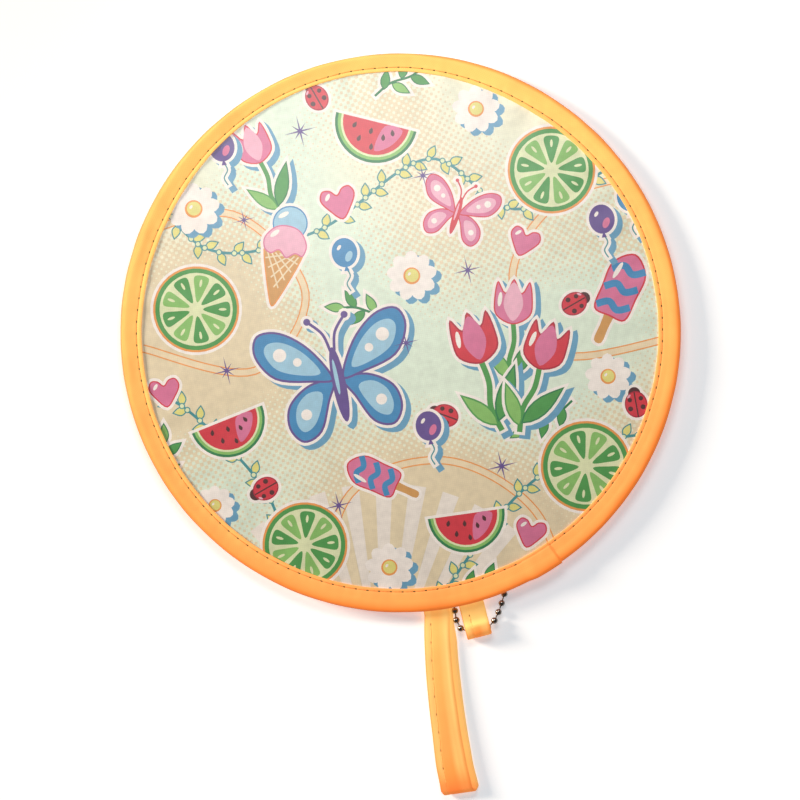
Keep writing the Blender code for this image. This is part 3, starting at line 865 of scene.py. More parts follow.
def balloon(ink: Ink, light: Ink) -> Stamp:
    """Draw a round balloon on a string, 11 mm across."""
    stamp = Stamp()
    stamp.body(band(open_curve([(0, -6.4), (1.1, -9.6), (-0.7, -12.8), (0.5, -16)]), 0.55), Ink.TEAL)
    stamp.body([(-1.1, -7.4), (1.1, -7.4), (0.3, -5.4), (-0.3, -5.4)], ink)
    stamp.body(oval(0, 0.4, 6.2, 5.4, 90, 28), ink)
    stamp.mark(oval(1.6, -1.4, 2.4, 1.4, 60, 16), light)
    stamp.mark(oval(-2.0, 2.8, 1.3, 0.7, 50, 10), Ink.WHITE)
    return stamp


def sprig() -> Stamp:
    """Draw a sprig with five leaves, 22 mm long."""
    stamp = Stamp()
    stamp.body(band(open_curve([(-11, -2), (-4, 0.6), (4, 0.4), (9, 1.8)]), 0.9), Ink.FOREST)
    leaves = ((-7, -1, 62), (-3.5, 0.4, -48), (0.5, 0.6, 58), (4, 0.6, -42), (8, 1.6, 12))
    inks = (Ink.LEAF, Ink.LIME, Ink.LEAF, Ink.LEAF, Ink.LIME)
    for (x, y, turn), ink in zip(leaves, inks):
        stamp.body(leaf(x, y, 8.2, 3.8, turn), ink, Ink.FOREST, 0.4)
    return stamp


def sparkle() -> Stamp:
    """Draw a thin star with eight arms, 12 mm across."""
    stamp = Stamp()
    points = []
    for i in range(16):
        radius = 0.8 if i % 2 else (6.0 if i % 4 == 0 else 3.6)
        points.append(polar(radius, math.pi * i / 8))
    stamp.mark(points, Ink.PLUM)
    return stamp


@dataclass
class PrintDesign:
    """The generic print: grounds first, then garlands, then scattered motifs, in millimetres."""

    radius: float
    border: float = 1.0
    shadow: Point = (1.9, -1.5)
    ray_hub: Point = (-6.0, -128.0)
    ray_length: float = 74.0
    ray_start: float = 50.0
    ray_pitch: float = 9.4
    leaf_size: Point = (5.6, 3.4)
    leaf_pitch: float = 4.4
    leaf_lean: float = 52.0
    layers: list[tuple[Outline, Ink]] = field(default_factory=list)

    def lay(self, outline: Outline, ink: Ink) -> None:
        """Print a shape, given in millimetres upright as in the photograph."""
        c, s = math.cos(UPRIGHT), math.sin(UPRIGHT)
        twice_area = sum(a[0] * b[1] - b[0] * a[1] for a, b in zip(outline, outline[1:] + outline[:1]))
        ordered = outline if twice_area > 0 else outline[::-1]
        self.layers.append(([(x * c - y * s, x * s + y * c) for x, y in ordered], ink))

    def stamp(self, motif: Stamp, x: float, y: float, size: float, turn: float, shadow: bool) -> None:
        """Print a motif with its white border.

        Args:
            motif: The shapes to print.
            x: Its place across, in millimetres.
            y: Its place upwards, in millimetres.
            size: Its scale.
            turn: Its turn in degrees.
            shadow: Whether a blue shadow shows beside it.
        """
        below = [((x + self.shadow[0], y + self.shadow[1]), Ink.SHADOW)] if shadow else []
        for spot, ink in below + [((x, y), Ink.WHITE)]:
            for outline in motif.bodies:
                self.lay(placed(grow(outline, self.border / size), *spot, turn, size), ink)
        for outline, ink in motif.shapes:
            self.lay(placed(outline, x, y, turn, size), ink)

    def grounds(self) -> None:
        """Print a fan of pale rays at the bottom."""
        x, y = self.ray_hub
        for i in range(9):
            first = self.ray_start + self.ray_pitch * i
            turns = (first, first + self.ray_pitch / 2)
            ends = [polar(self.ray_length, math.radians(turn)) for turn in turns]
            self.lay([self.ray_hub] + [(x + u, y + v) for u, v in ends], Ink.MILK)

    def vine(self, knots: Outline) -> None:
        """Print a garland of small leaves along a curve."""
        curve = open_curve(knots, 14)
        self.lay(band(curve, 1.0), Ink.TEAL)
        travelled, next_leaf, side = 0.0, 2.0, 1
        for before, (x, y) in zip(curve, curve[1:]):
            travelled += math.dist(before, (x, y))
            if travelled < next_leaf:
                continue
            way = math.degrees(math.atan2(y - before[1], x - before[0]))
            outline = leaf(x, y, *self.leaf_size, way + side * self.leaf_lean)
            self.lay(outline, Ink.TEAL)
            self.lay(grow(outline, -0.45), Ink.LEMON)
            self.lay(disc(x, y, 1.15, 12), Ink.TEAL)
            self.lay(disc(x, y, 0.75, 10), Ink.PITH)
            next_leaf += self.leaf_pitch
            side = -side

    def loops(self) -> None:
        """Print thin double lines in orange."""
        for knots in (
            [(-96, 34), (-60, 42), (-34, 14), (-52, -14), (-92, -6)],
            [(96, 58), (58, 48), (40, 20), (56, -8), (98, -2)],
            [(-30, -100), (-18, -58), (16, -46), (48, -64), (60, -100)],
        ):
            curve = open_curve(knots, 12)
            self.lay(band(curve, 3.0), Ink.APRICOT)
            self.lay(band(curve, 2.1), Ink.BUFF)

    def motifs(self) -> None:
        """Scatter the motifs, each with its places across and up, its sizes and its turns."""
        pink, red = tulip(Ink.ROSE, Ink.BLUSH, Ink.RED), tulip(Ink.RED, Ink.ROSE, Ink.CRIMSON)
        plum, blue = balloon(Ink.PLUM, Ink.ROSE), balloon(Ink.BLUE, Ink.SKY)
        twig, lime, bug, star = sprig(), lime_slice(), ladybird(), sparkle()
        flower, love = daisy(Ink.WHITE, Ink.LEMON), heart(Ink.ROSE, Ink.RED)
        for motif, shadow, *spots in (
            (twig, False, (0, 90, 0.95, 20), (-12, 8, 0.95, 165), (52, -30, 0.95, 200)),
            (twig, False, (-84, -48, 0.95, 80), (30, -90, 0.95, 10)),
            (lime, False, (54, 58, 1.12, 10), (-73, 8, 1.1, 40), (66, -48, 1.15, 25)),
            (lime, False, (-34, -76, 1.08, 5)),
            (melon_wedge(), False, (-10, 70, 1.1, -14), (-60, -36, 1.0, 22), (24, -70, 1.02, 8)),
            (butterfly(Ink.BLUE, Ink.SKY, Ink.PLUM, Ink.WHITE), True, (-22, -18, 1.42, 12)),
            (butterfly(Ink.ROSE, Ink.BLUSH, Ink.RED, Ink.WHITE), False, (20, 42, 0.72, -18)),
            (pink, True, (40, 2, 1.1, -2)),
            (red, True, (29, -12, 1.28, 16), (49, -14, 1.2, -18)),
            (pink, True, (-50, 60, 1.0, 22)),
            (ice_lolly(), False, (78, 14, 1.12, -24), (-8, -52, 0.9, 66)),
            (ice_cone(), False, (-42, 28, 1.05, -12)),
            (flower, True, (-74, 44, 1.1, 12), (4, 20, 1.05, 12), (74, -16, 0.95, 12)),
            (flower, True, (-4, -84, 1.0, 12), (27, 80, 1.0, 12), (-66, -62, 0.8, 12)),
            (love, False, (-22, 46, 1.15, 15), (44, 32, 1.0, -20)),
            (love, False, (-84, -22, 1.0, 10), (46, -72, 1.0, -15)),
            (bug, False, (-30, 84, 0.95, 30), (62, 10, 0.95, -60), (-48, -56, 0.95, 120)),
            (bug, False, (84, -26, 0.95, 10), (16, -30, 0.95, 70)),
            (plum, True, (-64, 66, 0.85, 8), (72, 40, 0.85, 8)),
            (blue, True, (82, 48, 0.85, 8), (-20, 28, 0.85, 8)),
            (plum, True, (10, -34, 0.85, 8)),
            (star, False, (-36, 72, 1.0, 14), (24, 22, 0.9, 14), (-62, -14, 0.9, 14), (2, -4, 0.8, 14)),
            (star, False, (36, -48, 1.0, 14), (-22, -62, 0.9, 14), (8, 56, 0.8, 14), (-56, 40, 0.7, 14)),
        ):
            for spot in spots:
                self.stamp(motif, *spot, shadow)

    def draw(self) -> None:
        """Print everything in order."""
        self.lay(disc(0, 0, self.radius, 96), Ink.GROUND)
        self.grounds()
        self.loops()
        self.vine([(-98, 66), (-70, 30), (-30, 36), (10, 62), (44, 44), (98, 74)])
        self.vine([(-60, -104), (-44, -66), (-76, -28), (-98, -22)])
        self.vine([(8, -104), (40, -60), (70, -40), (100, -36)])
        self.motifs()


@dataclass
class PrintedPanel:
    """The stretched round of printed cloth, gently rippled between the stitches of the hem."""

    stance: Stance
    radius: float = 97.4 * MM
    thickness: float = 0.2 * MM
    sag: float = 0.28 * MM
    pucker: float = 0.16 * MM
    pucker_count: int = 46
    pucker_reach: float = 13 * MM
    hem_edge: float = 91.7 * MM
    spacing: float = 3.6  # this and the sizes below are in millimetres, as the print is
    row_rise: float = 0.866  # the share of the spacing between the rows of a triangular grid
    rim_gap: float = 0.8
    rim_zone: float = 12.0
    ring_start: float = 0.6
    ring_step: float = 2.2
    ring_count: int = 6
    points_per_pucker: int = 6
    snap: float = 0.0001

    def height(self, x: float, y: float) -> float:
        """Return how far the cloth stands off its plane."""
        reach = math.hypot(x, y)
        angle = math.atan2(y, x)
        held = smooth_step((self.radius - reach) / (18 * MM))
        slack = wander(x * 22, y * 22, 3.1) + 0.5 * wander(x * 48, y * 48, 7.7)
        near = math.exp(-max(self.hem_edge - reach, 0.0) / self.pucker_reach)
        drift = 3.0 * wander_round(angle, 2, 1.3)
        size = 0.6 + 0.5 * wander_round(angle, 5, 9.4)
        ripple = math.sin(self.pucker_count * angle + drift) * size
        inside = smooth_step((self.radius - reach) / (4 * MM))
        return self.sag * slack * held + self.pucker * ripple * near * inside

    def scatter(self) -> Outline:
        """Return extra points, in millimetres, that let the cloth ripple."""
        step = self.spacing
        limit = self.radius / MM - self.rim_gap
        rows = int(limit / (step * self.row_rise)) + 1
        points = []
        for row in range(-rows, rows + 1):
            for column in range(-rows - 1, rows + 2):
                x, y = (column + row % 2 / 2) * step, row * step * self.row_rise
                if math.hypot(x, y) < limit - self.rim_zone:
                    points.append((x, y))
        count = self.pucker_count * self.points_per_pucker
        for ring in range(self.ring_count):
            reach = limit - self.ring_start - self.ring_step * ring
            for i in range(count):
                points.append(polar(reach, TURN * (i + ring % 2 / 2) / count))
        return points

    def cut(self, design: PrintDesign) -> tuple[list[Point], list, list[Ink]]:
        """Cut the cloth along every printed edge.

        Args:
            design: The print, drawn.

        Returns:
            The points in metres, the triangles, and the ink of each.
        """
        corners, rings = [], []
        for outline, _ in design.layers:
            rings.append(list(range(len(corners), len(corners) + len(outline))))
            corners.extend(Vector(p) for p in outline)
        corners.extend(Vector(p) for p in self.scatter())
        points, _, faces, _, _, owners = delaunay_2d_cdt(corners, [], rings, 0, self.snap)
        kept = [(face, owner) for face, owner in zip(faces, owners) if 0 in owner]
        used = sorted({i for face, _ in kept for i in face})
        number = {old: new for new, old in enumerate(used)}
        triangles = [tuple(number[i] for i in face) for face, _ in kept]
        inks = [design.layers[max(owner)][1] for _, owner in kept]
        return [(points[i].x * MM, points[i].y * MM) for i in used], triangles, inks

    def build(self, front: Material, back: Material) -> Piece:
        """Build the panel with its print on the front and its paler back."""
        design = PrintDesign(self.radius / MM)
        design.draw()
        plan, triangles, inks = self.cut(design)
        nudge = 0.2 * MM
        tops, normals = [], []
        for x, y in plan:
            here = self.height(x, y)
            across = (self.height(x + nudge, y) - here) / nudge
            up = (self.height(x, y + nudge) - here) / nudge
            tops.append(Vector((x, y, here + self.thickness / 2)))
            normals.append(Vector((-across, -up, 1.0)).normalized())
        count = len(tops)
        down = Vector((0.0, 0.0, self.thickness))
        faces = triangles + [tuple(count + i for i in reversed(face)) for face in triangles]
        sides = {(a, b): None for face in triangles for a, b in zip(face, face[1:] + face[:1])}
        rim = [(b, a, count + a, count + b) for a, b in sides if (b, a) not in sides]
        points = [self.stance.matrix @ p for p in tops] + [self.stance.matrix @ (p - down) for p in tops]
        mesh = make_mesh("printed_panel", points, faces + rim, [front, back])
        panel = link_up("printed_panel", mesh)
        under = np.zeros(len(mesh.polygons), dtype=np.int32)
        under[len(triangles) :] = 1
        mesh.polygons.foreach_set("material_index", under)
        self.paint(mesh, inks, len(rim))
        turn = self.stance.matrix.to_3x3()
        facing = [turn @ n for n in normals] + [turn @ -n for n in normals]
        mesh.normals_split_custom_set_from_vertices([tuple(n) for n in facing])
        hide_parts("fan_panel")
        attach(panel, Body.FAN.value)
        across, area = 2 * self.radius, math.pi * self.radius**2
        return panel

    def paint(self, mesh: bpy.types.Mesh, inks: list[Ink], rim: int) -> None:
        """Store each face's ink, with an alpha of 1 where it is a bare ground."""
        colours = {ink: (*linear(ink.value)[:3], 1.0 if ink is Ink.GROUND else 0.0) for ink in Ink}
        rows = [colours[ink] for ink in inks] * 2
        corners = np.repeat(np.array(rows, dtype=np.float32), 3, axis=0)
        bare = np.tile(np.array(colours[Ink.GROUND], dtype=np.float32), (rim * 4, 1))
        attribute = mesh.color_attributes.new("ink", "FLOAT_COLOR", "CORNER")
        attribute.data.foreach_set("color", np.concatenate([corners, bare]).ravel())


@dataclass
class StitchRow:
    """A row of stitches, each a thread that dives into a needle hole at both ends; a small dark disc at each
    hole is painted shade.
    """

    name: str
    thread: float = 0.15 * MM
    dip: float = 0.14 * MM
    hole_size: Point = (0.52 * MM, 0.29 * MM)
    points: list[Vector] = field(default_factory=list)
    faces: list[tuple[int, ...]] = field(default_factory=list)
    in_hole: list[int] = field(default_factory=list)

    def ring(self, middle: Vector, first: Vector, second: Vector, sides: int) -> list[Vector]:
        """Return an oval of points round a middle."""
        return [middle + first * c + second * s for c, s in circle(1.0, sides)]

    def join(self, rings: list[list[Vector]], in_hole: bool) -> None:
        """Skin rings of points and add them to the row."""
        corners, walls = skin_rows(rings)
        base = len(self.points)
        self.points += corners
        self.faces += [tuple(base + i for i in wall) for wall in walls]
        self.in_hole += [int(in_hole)] * len(walls)

    def build(self, holes: Sequence[tuple[Vector, Vector]], finish: Material, shaded: Material) -> Piece:
        """Sew the row.

        Args:
            holes: Each needle hole's place and the direction off the cloth there.
            finish: The thread's material.
            shaded: The material of the dark disc at each needle hole, which is painted shade.

        Returns:
            The stitches, as one object.
        """
        long, wide = self.hole_size
        # a flat dark disc at the needle hole, painted shade where the thread dives in
        knot = [(1.0, -0.12), (1.0, 0.0), (0.75, 0.045), (0.3, 0.06)]  # width's share, height in mm
        for (start, start_off), (end, end_off) in zip(holes, holes[1:]):
            along = (end - start).normalized()
            side = along.cross(start_off).normalized()
            rings = []
            for share, height in knot:
                middle = start + start_off * height * MM
                rings.append(self.ring(middle, along * long * share, -side * wide * share, 10))
            self.join(rings, True)
            rings = []
            for i in range(7):
                share = 0.07 + 0.86 * i / 6
                off = start_off.lerp(end_off, share).normalized()
                side = along.cross(off).normalized()
                swell = math.sin(math.pi * i / 6)
                rise = self.thread * 0.35 - self.dip * (1.0 - swell**0.45)
                middle = start.lerp(end, share) + off * rise
                thick = self.thread * (0.75 + 0.25 * swell)
                rings.append(self.ring(middle, side * thick, off * thick, 6))
            self.join(rings, False)
        mesh = make_mesh(self.name, self.points, self.faces, [finish, shaded])
        mesh.polygons.foreach_set("material_index", np.array(self.in_hole, dtype=np.int32))
        return link_up(self.name, mesh)


def loft_tape(
    name: str,
    rows: list[list[Vector]],
    along: Sequence[float],
    across: Sequence[float],
    finish: Material,
) -> Piece:
    """Loft a tape and give it a UV map in metres along and across it.

    Args:
        name: The piece's name.
        rows: Its sections.
        along: The length at each row.
        across: The way round the section at each point of a row.
        finish: Its material.

    Returns:
        The tape.
    """
    mesh = make_mesh(name, *skin_rows(rows), [finish])
    layer = mesh.uv_layers.new(name="tape")
    for loop in mesh.loops:
        row, column = divmod(loop.vertex_index, len(rows[0]))
        layer.data[loop.index].uv = (along[row], across[column])
    return link_up(name, mesh)


@dataclass
class HemTape:
    """The bias tape folded round the cloth and the hoop, its cut end lapped over its start."""

    stance: Stance
    rim: float = 100 * MM
    widths: tuple[float, ...] = (8.0, 8.0, 8.2, 6.6, 6.5, 7.6, 7.6, 7.7, 7.9, 8.4, 8.6, 8.3)
    insets: tuple[float, ...] = (1.5, 1.6, 1.6, 1.5, 1.5, 1.7, 1.8, 1.6, 1.4, 1.1, 1.1, 1.2)
    flange: float = 0.65 * MM
    crest: float = 1.85 * MM
    tape: float = 0.35 * MM
    lap_angle: float = math.radians(-63.4)
    lap_length: float = 9 * MM
    lap_rise: float = 4.5 * MM
    lap_lift: float = 0.43 * MM
    cut_slant: float = 0.25 / 8  # way along the tape to the way across it
    stitch_count: int = 140
    columns_per_stitch: int = 6

    def inner_edge(self, angle: float) -> float:
        """Return the radius of the hem's inner edge, wavering a little between stitches."""
        waver = 0.14 * MM * wander_round(angle, 9, 4.2)
        return self.rim - around(self.widths, angle - UPRIGHT) * MM + waver

    def seam(self, angle: float) -> float:
        """Return how far the seam lies from the inner edge; it was sewn by hand guidance."""
        return around(self.insets, angle - UPRIGHT) * MM

    def lift(self, along: float) -> float:
        """Return how far the tape is lifted at a way along it by its own start below."""
        climb_end = TURN - 0.4 * MM / self.rim
        rise = self.lap_rise / self.rim
        return self.lap_lift * smooth_step((along - climb_end + rise) / rise)

    def section(self, angle: float, along: float) -> list[Point]:
        """Return the tape's section as (radius, height) points, outside first.

        Args:
            angle: Where the section stands on the disc.
            along: The turn since the tape's start.

        Returns:
            The closed outline.
        """
        lift = self.lift(along)
        edge = self.inner_edge(angle)
        puff = 0.5 - 0.5 * math.cos(self.stitch_count * angle)
        swell = 0.10 * MM * wander_round(angle, 14, 0.6) + 0.05 * MM * wander_round(angle, 40, 5.0)
        bulge = 0.10 * MM * wander_round(angle, 11, 8.8)
        skew = 0.5 * MM * wander_round(angle, 8, 2.4)
        seam = edge + self.seam(angle)
        low, crest = self.flange, self.crest
        ramp = max(self.rim - 4.7 * MM, seam + 1.1 * MM)
        front = [
            (edge + 0.06 * MM, low - 0.30 * MM),
            (edge, low - 0.16 * MM),
            (edge + 0.08 * MM, low - 0.03 * MM),
            (edge + 0.32 * MM, low + 0.03 * MM + 0.05 * MM * puff),
            (seam - 0.34 * MM, low + 0.02 * MM + 0.07 * MM * puff),
            (seam - 0.12 * MM, low - 0.10 * MM + 0.08 * MM * puff),
            (seam + 0.12 * MM, low - 0.10 * MM + 0.08 * MM * puff),
            (seam + 0.36 * MM, low + 0.04 * MM + 0.08 * MM * puff),
            (min(seam + 0.8 * MM, ramp - 0.5 * MM), low + 0.12 * MM + 0.07 * MM * puff),
            (ramp, low + 0.28 * MM + 0.05 * MM * puff + swell),
            (ramp + 0.7 * MM, low + 0.52 * MM + swell),
            (ramp + 1.4 * MM + skew * 0.5, low + 0.77 * MM + swell),
            (ramp + 2.1 * MM + skew, crest - 0.22 * MM + swell),
            (ramp + 2.8 * MM + skew, crest - 0.02 * MM + swell),
            (ramp + 3.5 * MM + skew * 0.5, crest + 0.01 * MM + swell),
            (self.rim - 0.62 * MM, crest - 0.22 * MM + swell),
            (self.rim - 0.22 * MM + bulge * 0.5, crest - 0.70 * MM),
            (self.rim - 0.03 * MM + bulge, crest - 1.25 * MM),
        ]
        inside = [
            (self.rim - self.tape + bulge, crest - 1.25 * MM),
            (self.rim - 0.62 * MM, crest - self.tape - 0.25 * MM),
            (ramp + 2.8 * MM, crest - self.tape - 0.05 * MM),
            (ramp + 1.0 * MM, low + 0.15 * MM),
            (seam, low - self.tape),
            (edge + 0.08 * MM, low - self.tape),
        ]
        outer, inner = (
            [(r + lift * smooth_step((r - ramp) / (self.rim - ramp)), h + lift) for r, h in side]
            for side in (front, inside)
        )
        back = [(r, -h) for r, h in reversed(outer)] + [(r, -h) for r, h in reversed(inner)]
        return outer + back + inner

    def build(self, finish: Material, thread: Material, hole: Material) -> list[Piece]:
        """Build the tape and the stitches on both of its sides."""
        start = self.lap_angle - self.lap_length / self.rim
        total = TURN + self.lap_length / self.rim
        steps = round(self.stitch_count * self.columns_per_stitch * total / TURN)
        rows, along = [], []
        for i in range(steps + 1):
            way = total * i / steps
            angle = start + way
            slant = self.cut_slant / self.rim if i == steps else 0.0
            inner = self.inner_edge(angle)
            section = self.section(angle, way)
            row = [self.stance.place(r, angle + slant * (r - inner), h) for r, h in section]
            for point in row:
                point.z = max(point.z, 0.0)
            rows.append(row)
            along.append(way * self.rim)
        across = [max(self.rim - r, 0.0) for r, _ in self.section(-math.pi / 2, 0.0)]
        hem = loft_tape("hem_tape", rows, along, across, finish)
        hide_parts("edge_binding")
        pieces = [hem]
        first = round(self.stitch_count * (self.lap_angle - TURN) / TURN)
        for name, side in (("hem_stitches_front", 1), ("hem_stitches_back", -1)):
            off = self.stance.matrix.to_3x3() @ Vector((0.0, 0.0, side))
            holes = []
            for i in range(self.stitch_count + 1):
                angle = TURN * (first + i) / self.stitch_count
                height = self.flange - 0.08 * MM + self.lift(angle - start)
                radius = self.inner_edge(angle) + self.seam(angle)
                holes.append((self.stance.place(radius, angle, side * height), off))
            pieces.append(StitchRow(name).build(holes, thread, hole))
        for piece in pieces:
            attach(piece, Body.FAN.value)
        return pieces


@dataclass
class FoldedTape:
    """A tape that is sewn behind the hem, runs out under the rim, folds and comes back."""

    stance: Stance
    name: str
    joint: str
    body: Body
    nodes: tuple[str, str]
    reach: float
    root_length: float
    leg: float = 1.1 * MM
    leg_gap: float = 0.3 * MM
    off_table: float = 0.05 * MM
    nose: float = 1.25 * MM
    stitch_pitch: float = 5.0 * MM
    stitch_inset: float = 1.5 * MM
    row_step: float = 0.8 * MM
    fold_steps: int = 12
    climb: float = 2.6 * MM
    hem_crest: float = 1.86 * MM
    hem_flange: float = 0.72 * MM
    hole_height: float = 0.72  # share of half the leg's thickness
    hinge: Vector = field(init=False)
    across: Vector = field(init=False)
    outward: Vector = field(init=False)

    def __post_init__(self) -> None:
        """Read the hinge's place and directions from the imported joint."""
        hinge = next(j for j in frame["joints"] if j["name"] == self.joint)
        self.hinge = Vector(hinge["pos_m"])
        self.across = -Vector(hinge["axis"]).normalized()
        self.outward = self.across.cross(Vector((0.0, 0.0, 1.0))).normalized()
        if self.outward.y > 0:
            self.outward = -self.outward

    def width(self, out: float) -> float:
        """Return the tape's width at a way out from the hinge."""
        raise NotImplementedError

    def middle(self, out: float, lower: float) -> float:
        """Return the middle's place across, lower being 1 on the leg below."""
        raise NotImplementedError

    def top(self, out: float) -> float:
        """Return the height of the upper leg's middle above the table."""
        raise NotImplementedError

    def under_hem(self, inward: float) -> float:
        """Return the height of the hem's back above the table, inward of the hinge."""
        ramp = smooth_step((inward - 3.6 * MM) / self.climb)
        radius = math.hypot(self.hinge.x, self.hinge.y - self.stance.matrix.translation.y) - inward
        crest = self.stance.place(radius, -math.pi / 2, -self.hem_crest).z
        flange = self.stance.place(radius, -math.pi / 2, -self.hem_flange).z
        return crest + (flange - crest) * ramp

    def path(self) -> list[tuple[float, float, float]]:
        """Return (outward, height, share on the lower leg) from one sewn end to the other."""
        low = self.leg / 2 + self.off_table
        rest = low + self.leg + self.leg_gap
        last = self.nose + self.root_length
        roots = []
        steps = round(last / self.row_step)
        for i in range(steps + 1):
            inward = last * (steps - i) / steps
            raised = self.under_hem(inward) - self.leg / 2 - 0.06 * MM
            roots.append((-inward, rest + (raised - rest) * smooth_step(inward / self.climb)))
        radius = (self.top(self.reach) - low) / 2
        points = [(out, height, 0.0) for out, height in roots]
        count = round(self.reach / self.row_step)
        ways = [self.reach * i / count for i in range(1, count)]
        points += [(out, self.top(out), 0.0) for out in ways]
        for i in range(self.fold_steps + 1):
            turn = math.pi * i / self.fold_steps
            out = self.reach + radius * math.sin(turn)
            points.append((out, low + radius + radius * math.cos(turn), i / self.fold_steps))
        points += [(out, low, 1.0) for out in reversed(ways)]
        points += [(out, height - self.leg * 0.98, 1.0) for out, height in reversed(roots)]
        return points

    def section(self, width: float, sag: float) -> list[Point]:
        """Return the folded tape's section: a groove at its seam and a slit at its open edge."""
        half, thick = width / 2, self.leg / 2
        seam = self.stitch_inset - half
        face = [
            (-half + 0.02 * MM, 0.45 * thick),
            (-half + 0.16 * MM, 0.80 * thick),
            (-half + 0.45 * MM, 0.94 * thick),
            (seam - 0.30 * MM, 0.90 * thick),
            (seam, 0.70 * thick),
            (seam + 0.30 * MM, 0.92 * thick),
            (seam + 0.9 * MM, thick + sag),
            (0.15 * half, 0.96 * thick + sag),
            (half - 1.2 * MM, thick + sag * 0.5),
            (half - 0.35 * MM, 0.90 * thick),
            (half - 0.08 * MM, 0.52 * thick),
        ]
        slit, fold = (-half + 0.30 * MM, 0.0), (half, 0.0)
        return [slit] + face + [fold] + [(a, -b) for a, b in reversed(face)]

    def rows(self) -> tuple[list[list[Vector]], list[float], list]:
        """Return the rings of points, the length at each, and frames for the stitches."""
        base = Vector((self.hinge.x, self.hinge.y, 0.0))
        path = self.path()
        rings, lengths, frames = [], [], []
        travelled = 0.0
        for i, (out, height, lower) in enumerate(path):
            before, after = path[max(i - 1, 0)], path[min(i + 1, len(path) - 1)]
            way = Vector((after[0] - before[0], after[1] - before[1])).normalized()
            normal = self.outward * -way.y + Vector((0.0, 0.0, way.x))
            if i:
                travelled += math.dist(path[i - 1][:2], (out, height))
            free = smooth_step(out / (6 * MM))
            waver = 0.16 * MM * free * wander(travelled * 70, 1.7)
            width = self.width(out) + 0.16 * MM * free * wander(travelled * 90, 6.1)
            sag = 0.05 * MM * wander(travelled * 160, 2.9)
            middle = base + self.across * (self.middle(out, lower) + waver) + self.outward * out
            middle.z = height
            ring = [middle + self.across * a + normal * b for a, b in self.section(width, sag)]
            for point in ring:
                point.z = max(point.z, 0.01 * MM)
            rings.append(ring)
            lengths.append(travelled)
            seam = middle + self.across * (self.stitch_inset - width / 2)
            frames.append((travelled, out, lower, seam + normal * (self.leg / 2 * self.hole_height), normal))
        return rings, lengths, frames

    def seam_holes(self, frames: list, lower: float) -> list[tuple[Vector, Vector]]:
        """Return the needle holes on one leg, clear of the hinge and the fold."""
        holes, next_at = [], 0.0
        for travelled, out, share, seam, normal in frames:
            if share == lower and 2.4 * MM < out < self.reach - 0.5 * MM and travelled >= next_at:
                holes.append((seam, normal))
                next_at = travelled + self.stitch_pitch
        return holes

    def build(self, finish: Material, thread: Material, hole: Material) -> list[Piece]:
        """Build the tape as one piece that runs from under the hem past the hinge, and its rows of stitches.
        """
        rings, lengths, frames = self.rows()
        section = self.section(self.width(0.0), 0.0)
        across = [0.0]
        for before, here in zip(section, section[1:]):
            across.append(across[-1] + math.dist(before, here))
        tape = loft_tape(self.name, rings, lengths, across, finish)
        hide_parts(*self.nodes)
        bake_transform(tape)
        pieces = [tape]
        for label, lower in (("upper", 0.0), ("lower", 1.0)):
            holes = self.seam_holes(frames, lower)
            if len(holes) > 1:
                seam = StitchRow(f"{self.name}_stitches_{label}").build(holes, thread, hole)
                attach(seam, self.body.value)
                pieces.append(seam)
        return pieces


@dataclass
class WristStrap(FoldedTape):
    """The long loop that goes round the wrist."""

    root_left: float = -6.0 * MM
    root_width: float = 9.2 * MM
    widening: float = 2.2 * MM
    length: float = 64.3 * MM
    drift: float = 3.8 * MM
    drift_length: float = 22 * MM
    peek: float = 2.4 * MM
    bulge: float = 1.1 * MM
    turn_back: float = 0.6 * MM
    stitch_pitch: float = 5.7 * MM
    stitch_inset: float = 2.4 * MM

    def width(self, out: float) -> float:
        """Return the width, growing towards the fold as the tape turns to the eye."""
        return self.root_width + self.widening * min(max(out / self.length, 0.0), 1.0) ** 1.6

    def middle(self, out: float, lower: float) -> float:
        """Return the middle's place; the strap drifts left and its lower leg shows on the right."""
        out = max(out, 0.0)
        left = self.root_left - self.drift * (1.0 - math.exp(-out / self.drift_length))
        left += self.turn_back * smooth_step((out - 52 * MM) / (11 * MM))
        shown = self.peek * (0.5 + 0.5 * smooth_step(out / (12 * MM))) * lower
        return left + self.width(out) / 2 + shown

    def top(self, out: float) -> float:
        """Return the upper leg's height; it stands off a little more towards the fold."""
        rest = self.leg * 1.5 + self.leg_gap + self.off_table
        return rest + self.bulge * smooth_step(out / self.length)


@dataclass
class ChainTab(FoldedTape):
    """The short loop that carries the chain in its fold."""

    tape_width: float = 9.0 * MM
    neck: float = 4.2 * MM
    eye: float = 3.0 * MM
    stitch_pitch: float = 2.4 * MM
    stitch_inset: float = 2.8 * MM

    def width(self, out: float) -> float:
        """Return the tape's width."""
        return self.tape_width

    def middle(self, out: float, lower: float) -> float:
        """Return the middle's place; both legs lie in line."""
        return 0.0

    def top(self, out: float) -> float:
        """Return the upper leg's height, opening round the chain."""
        rest = self.leg * 1.5 + self.leg_gap + self.off_table
        opened = self.leg * 1.5 + self.eye
        return rest + (opened - rest) * smooth_step((out - self.neck) / (self.reach - self.neck))


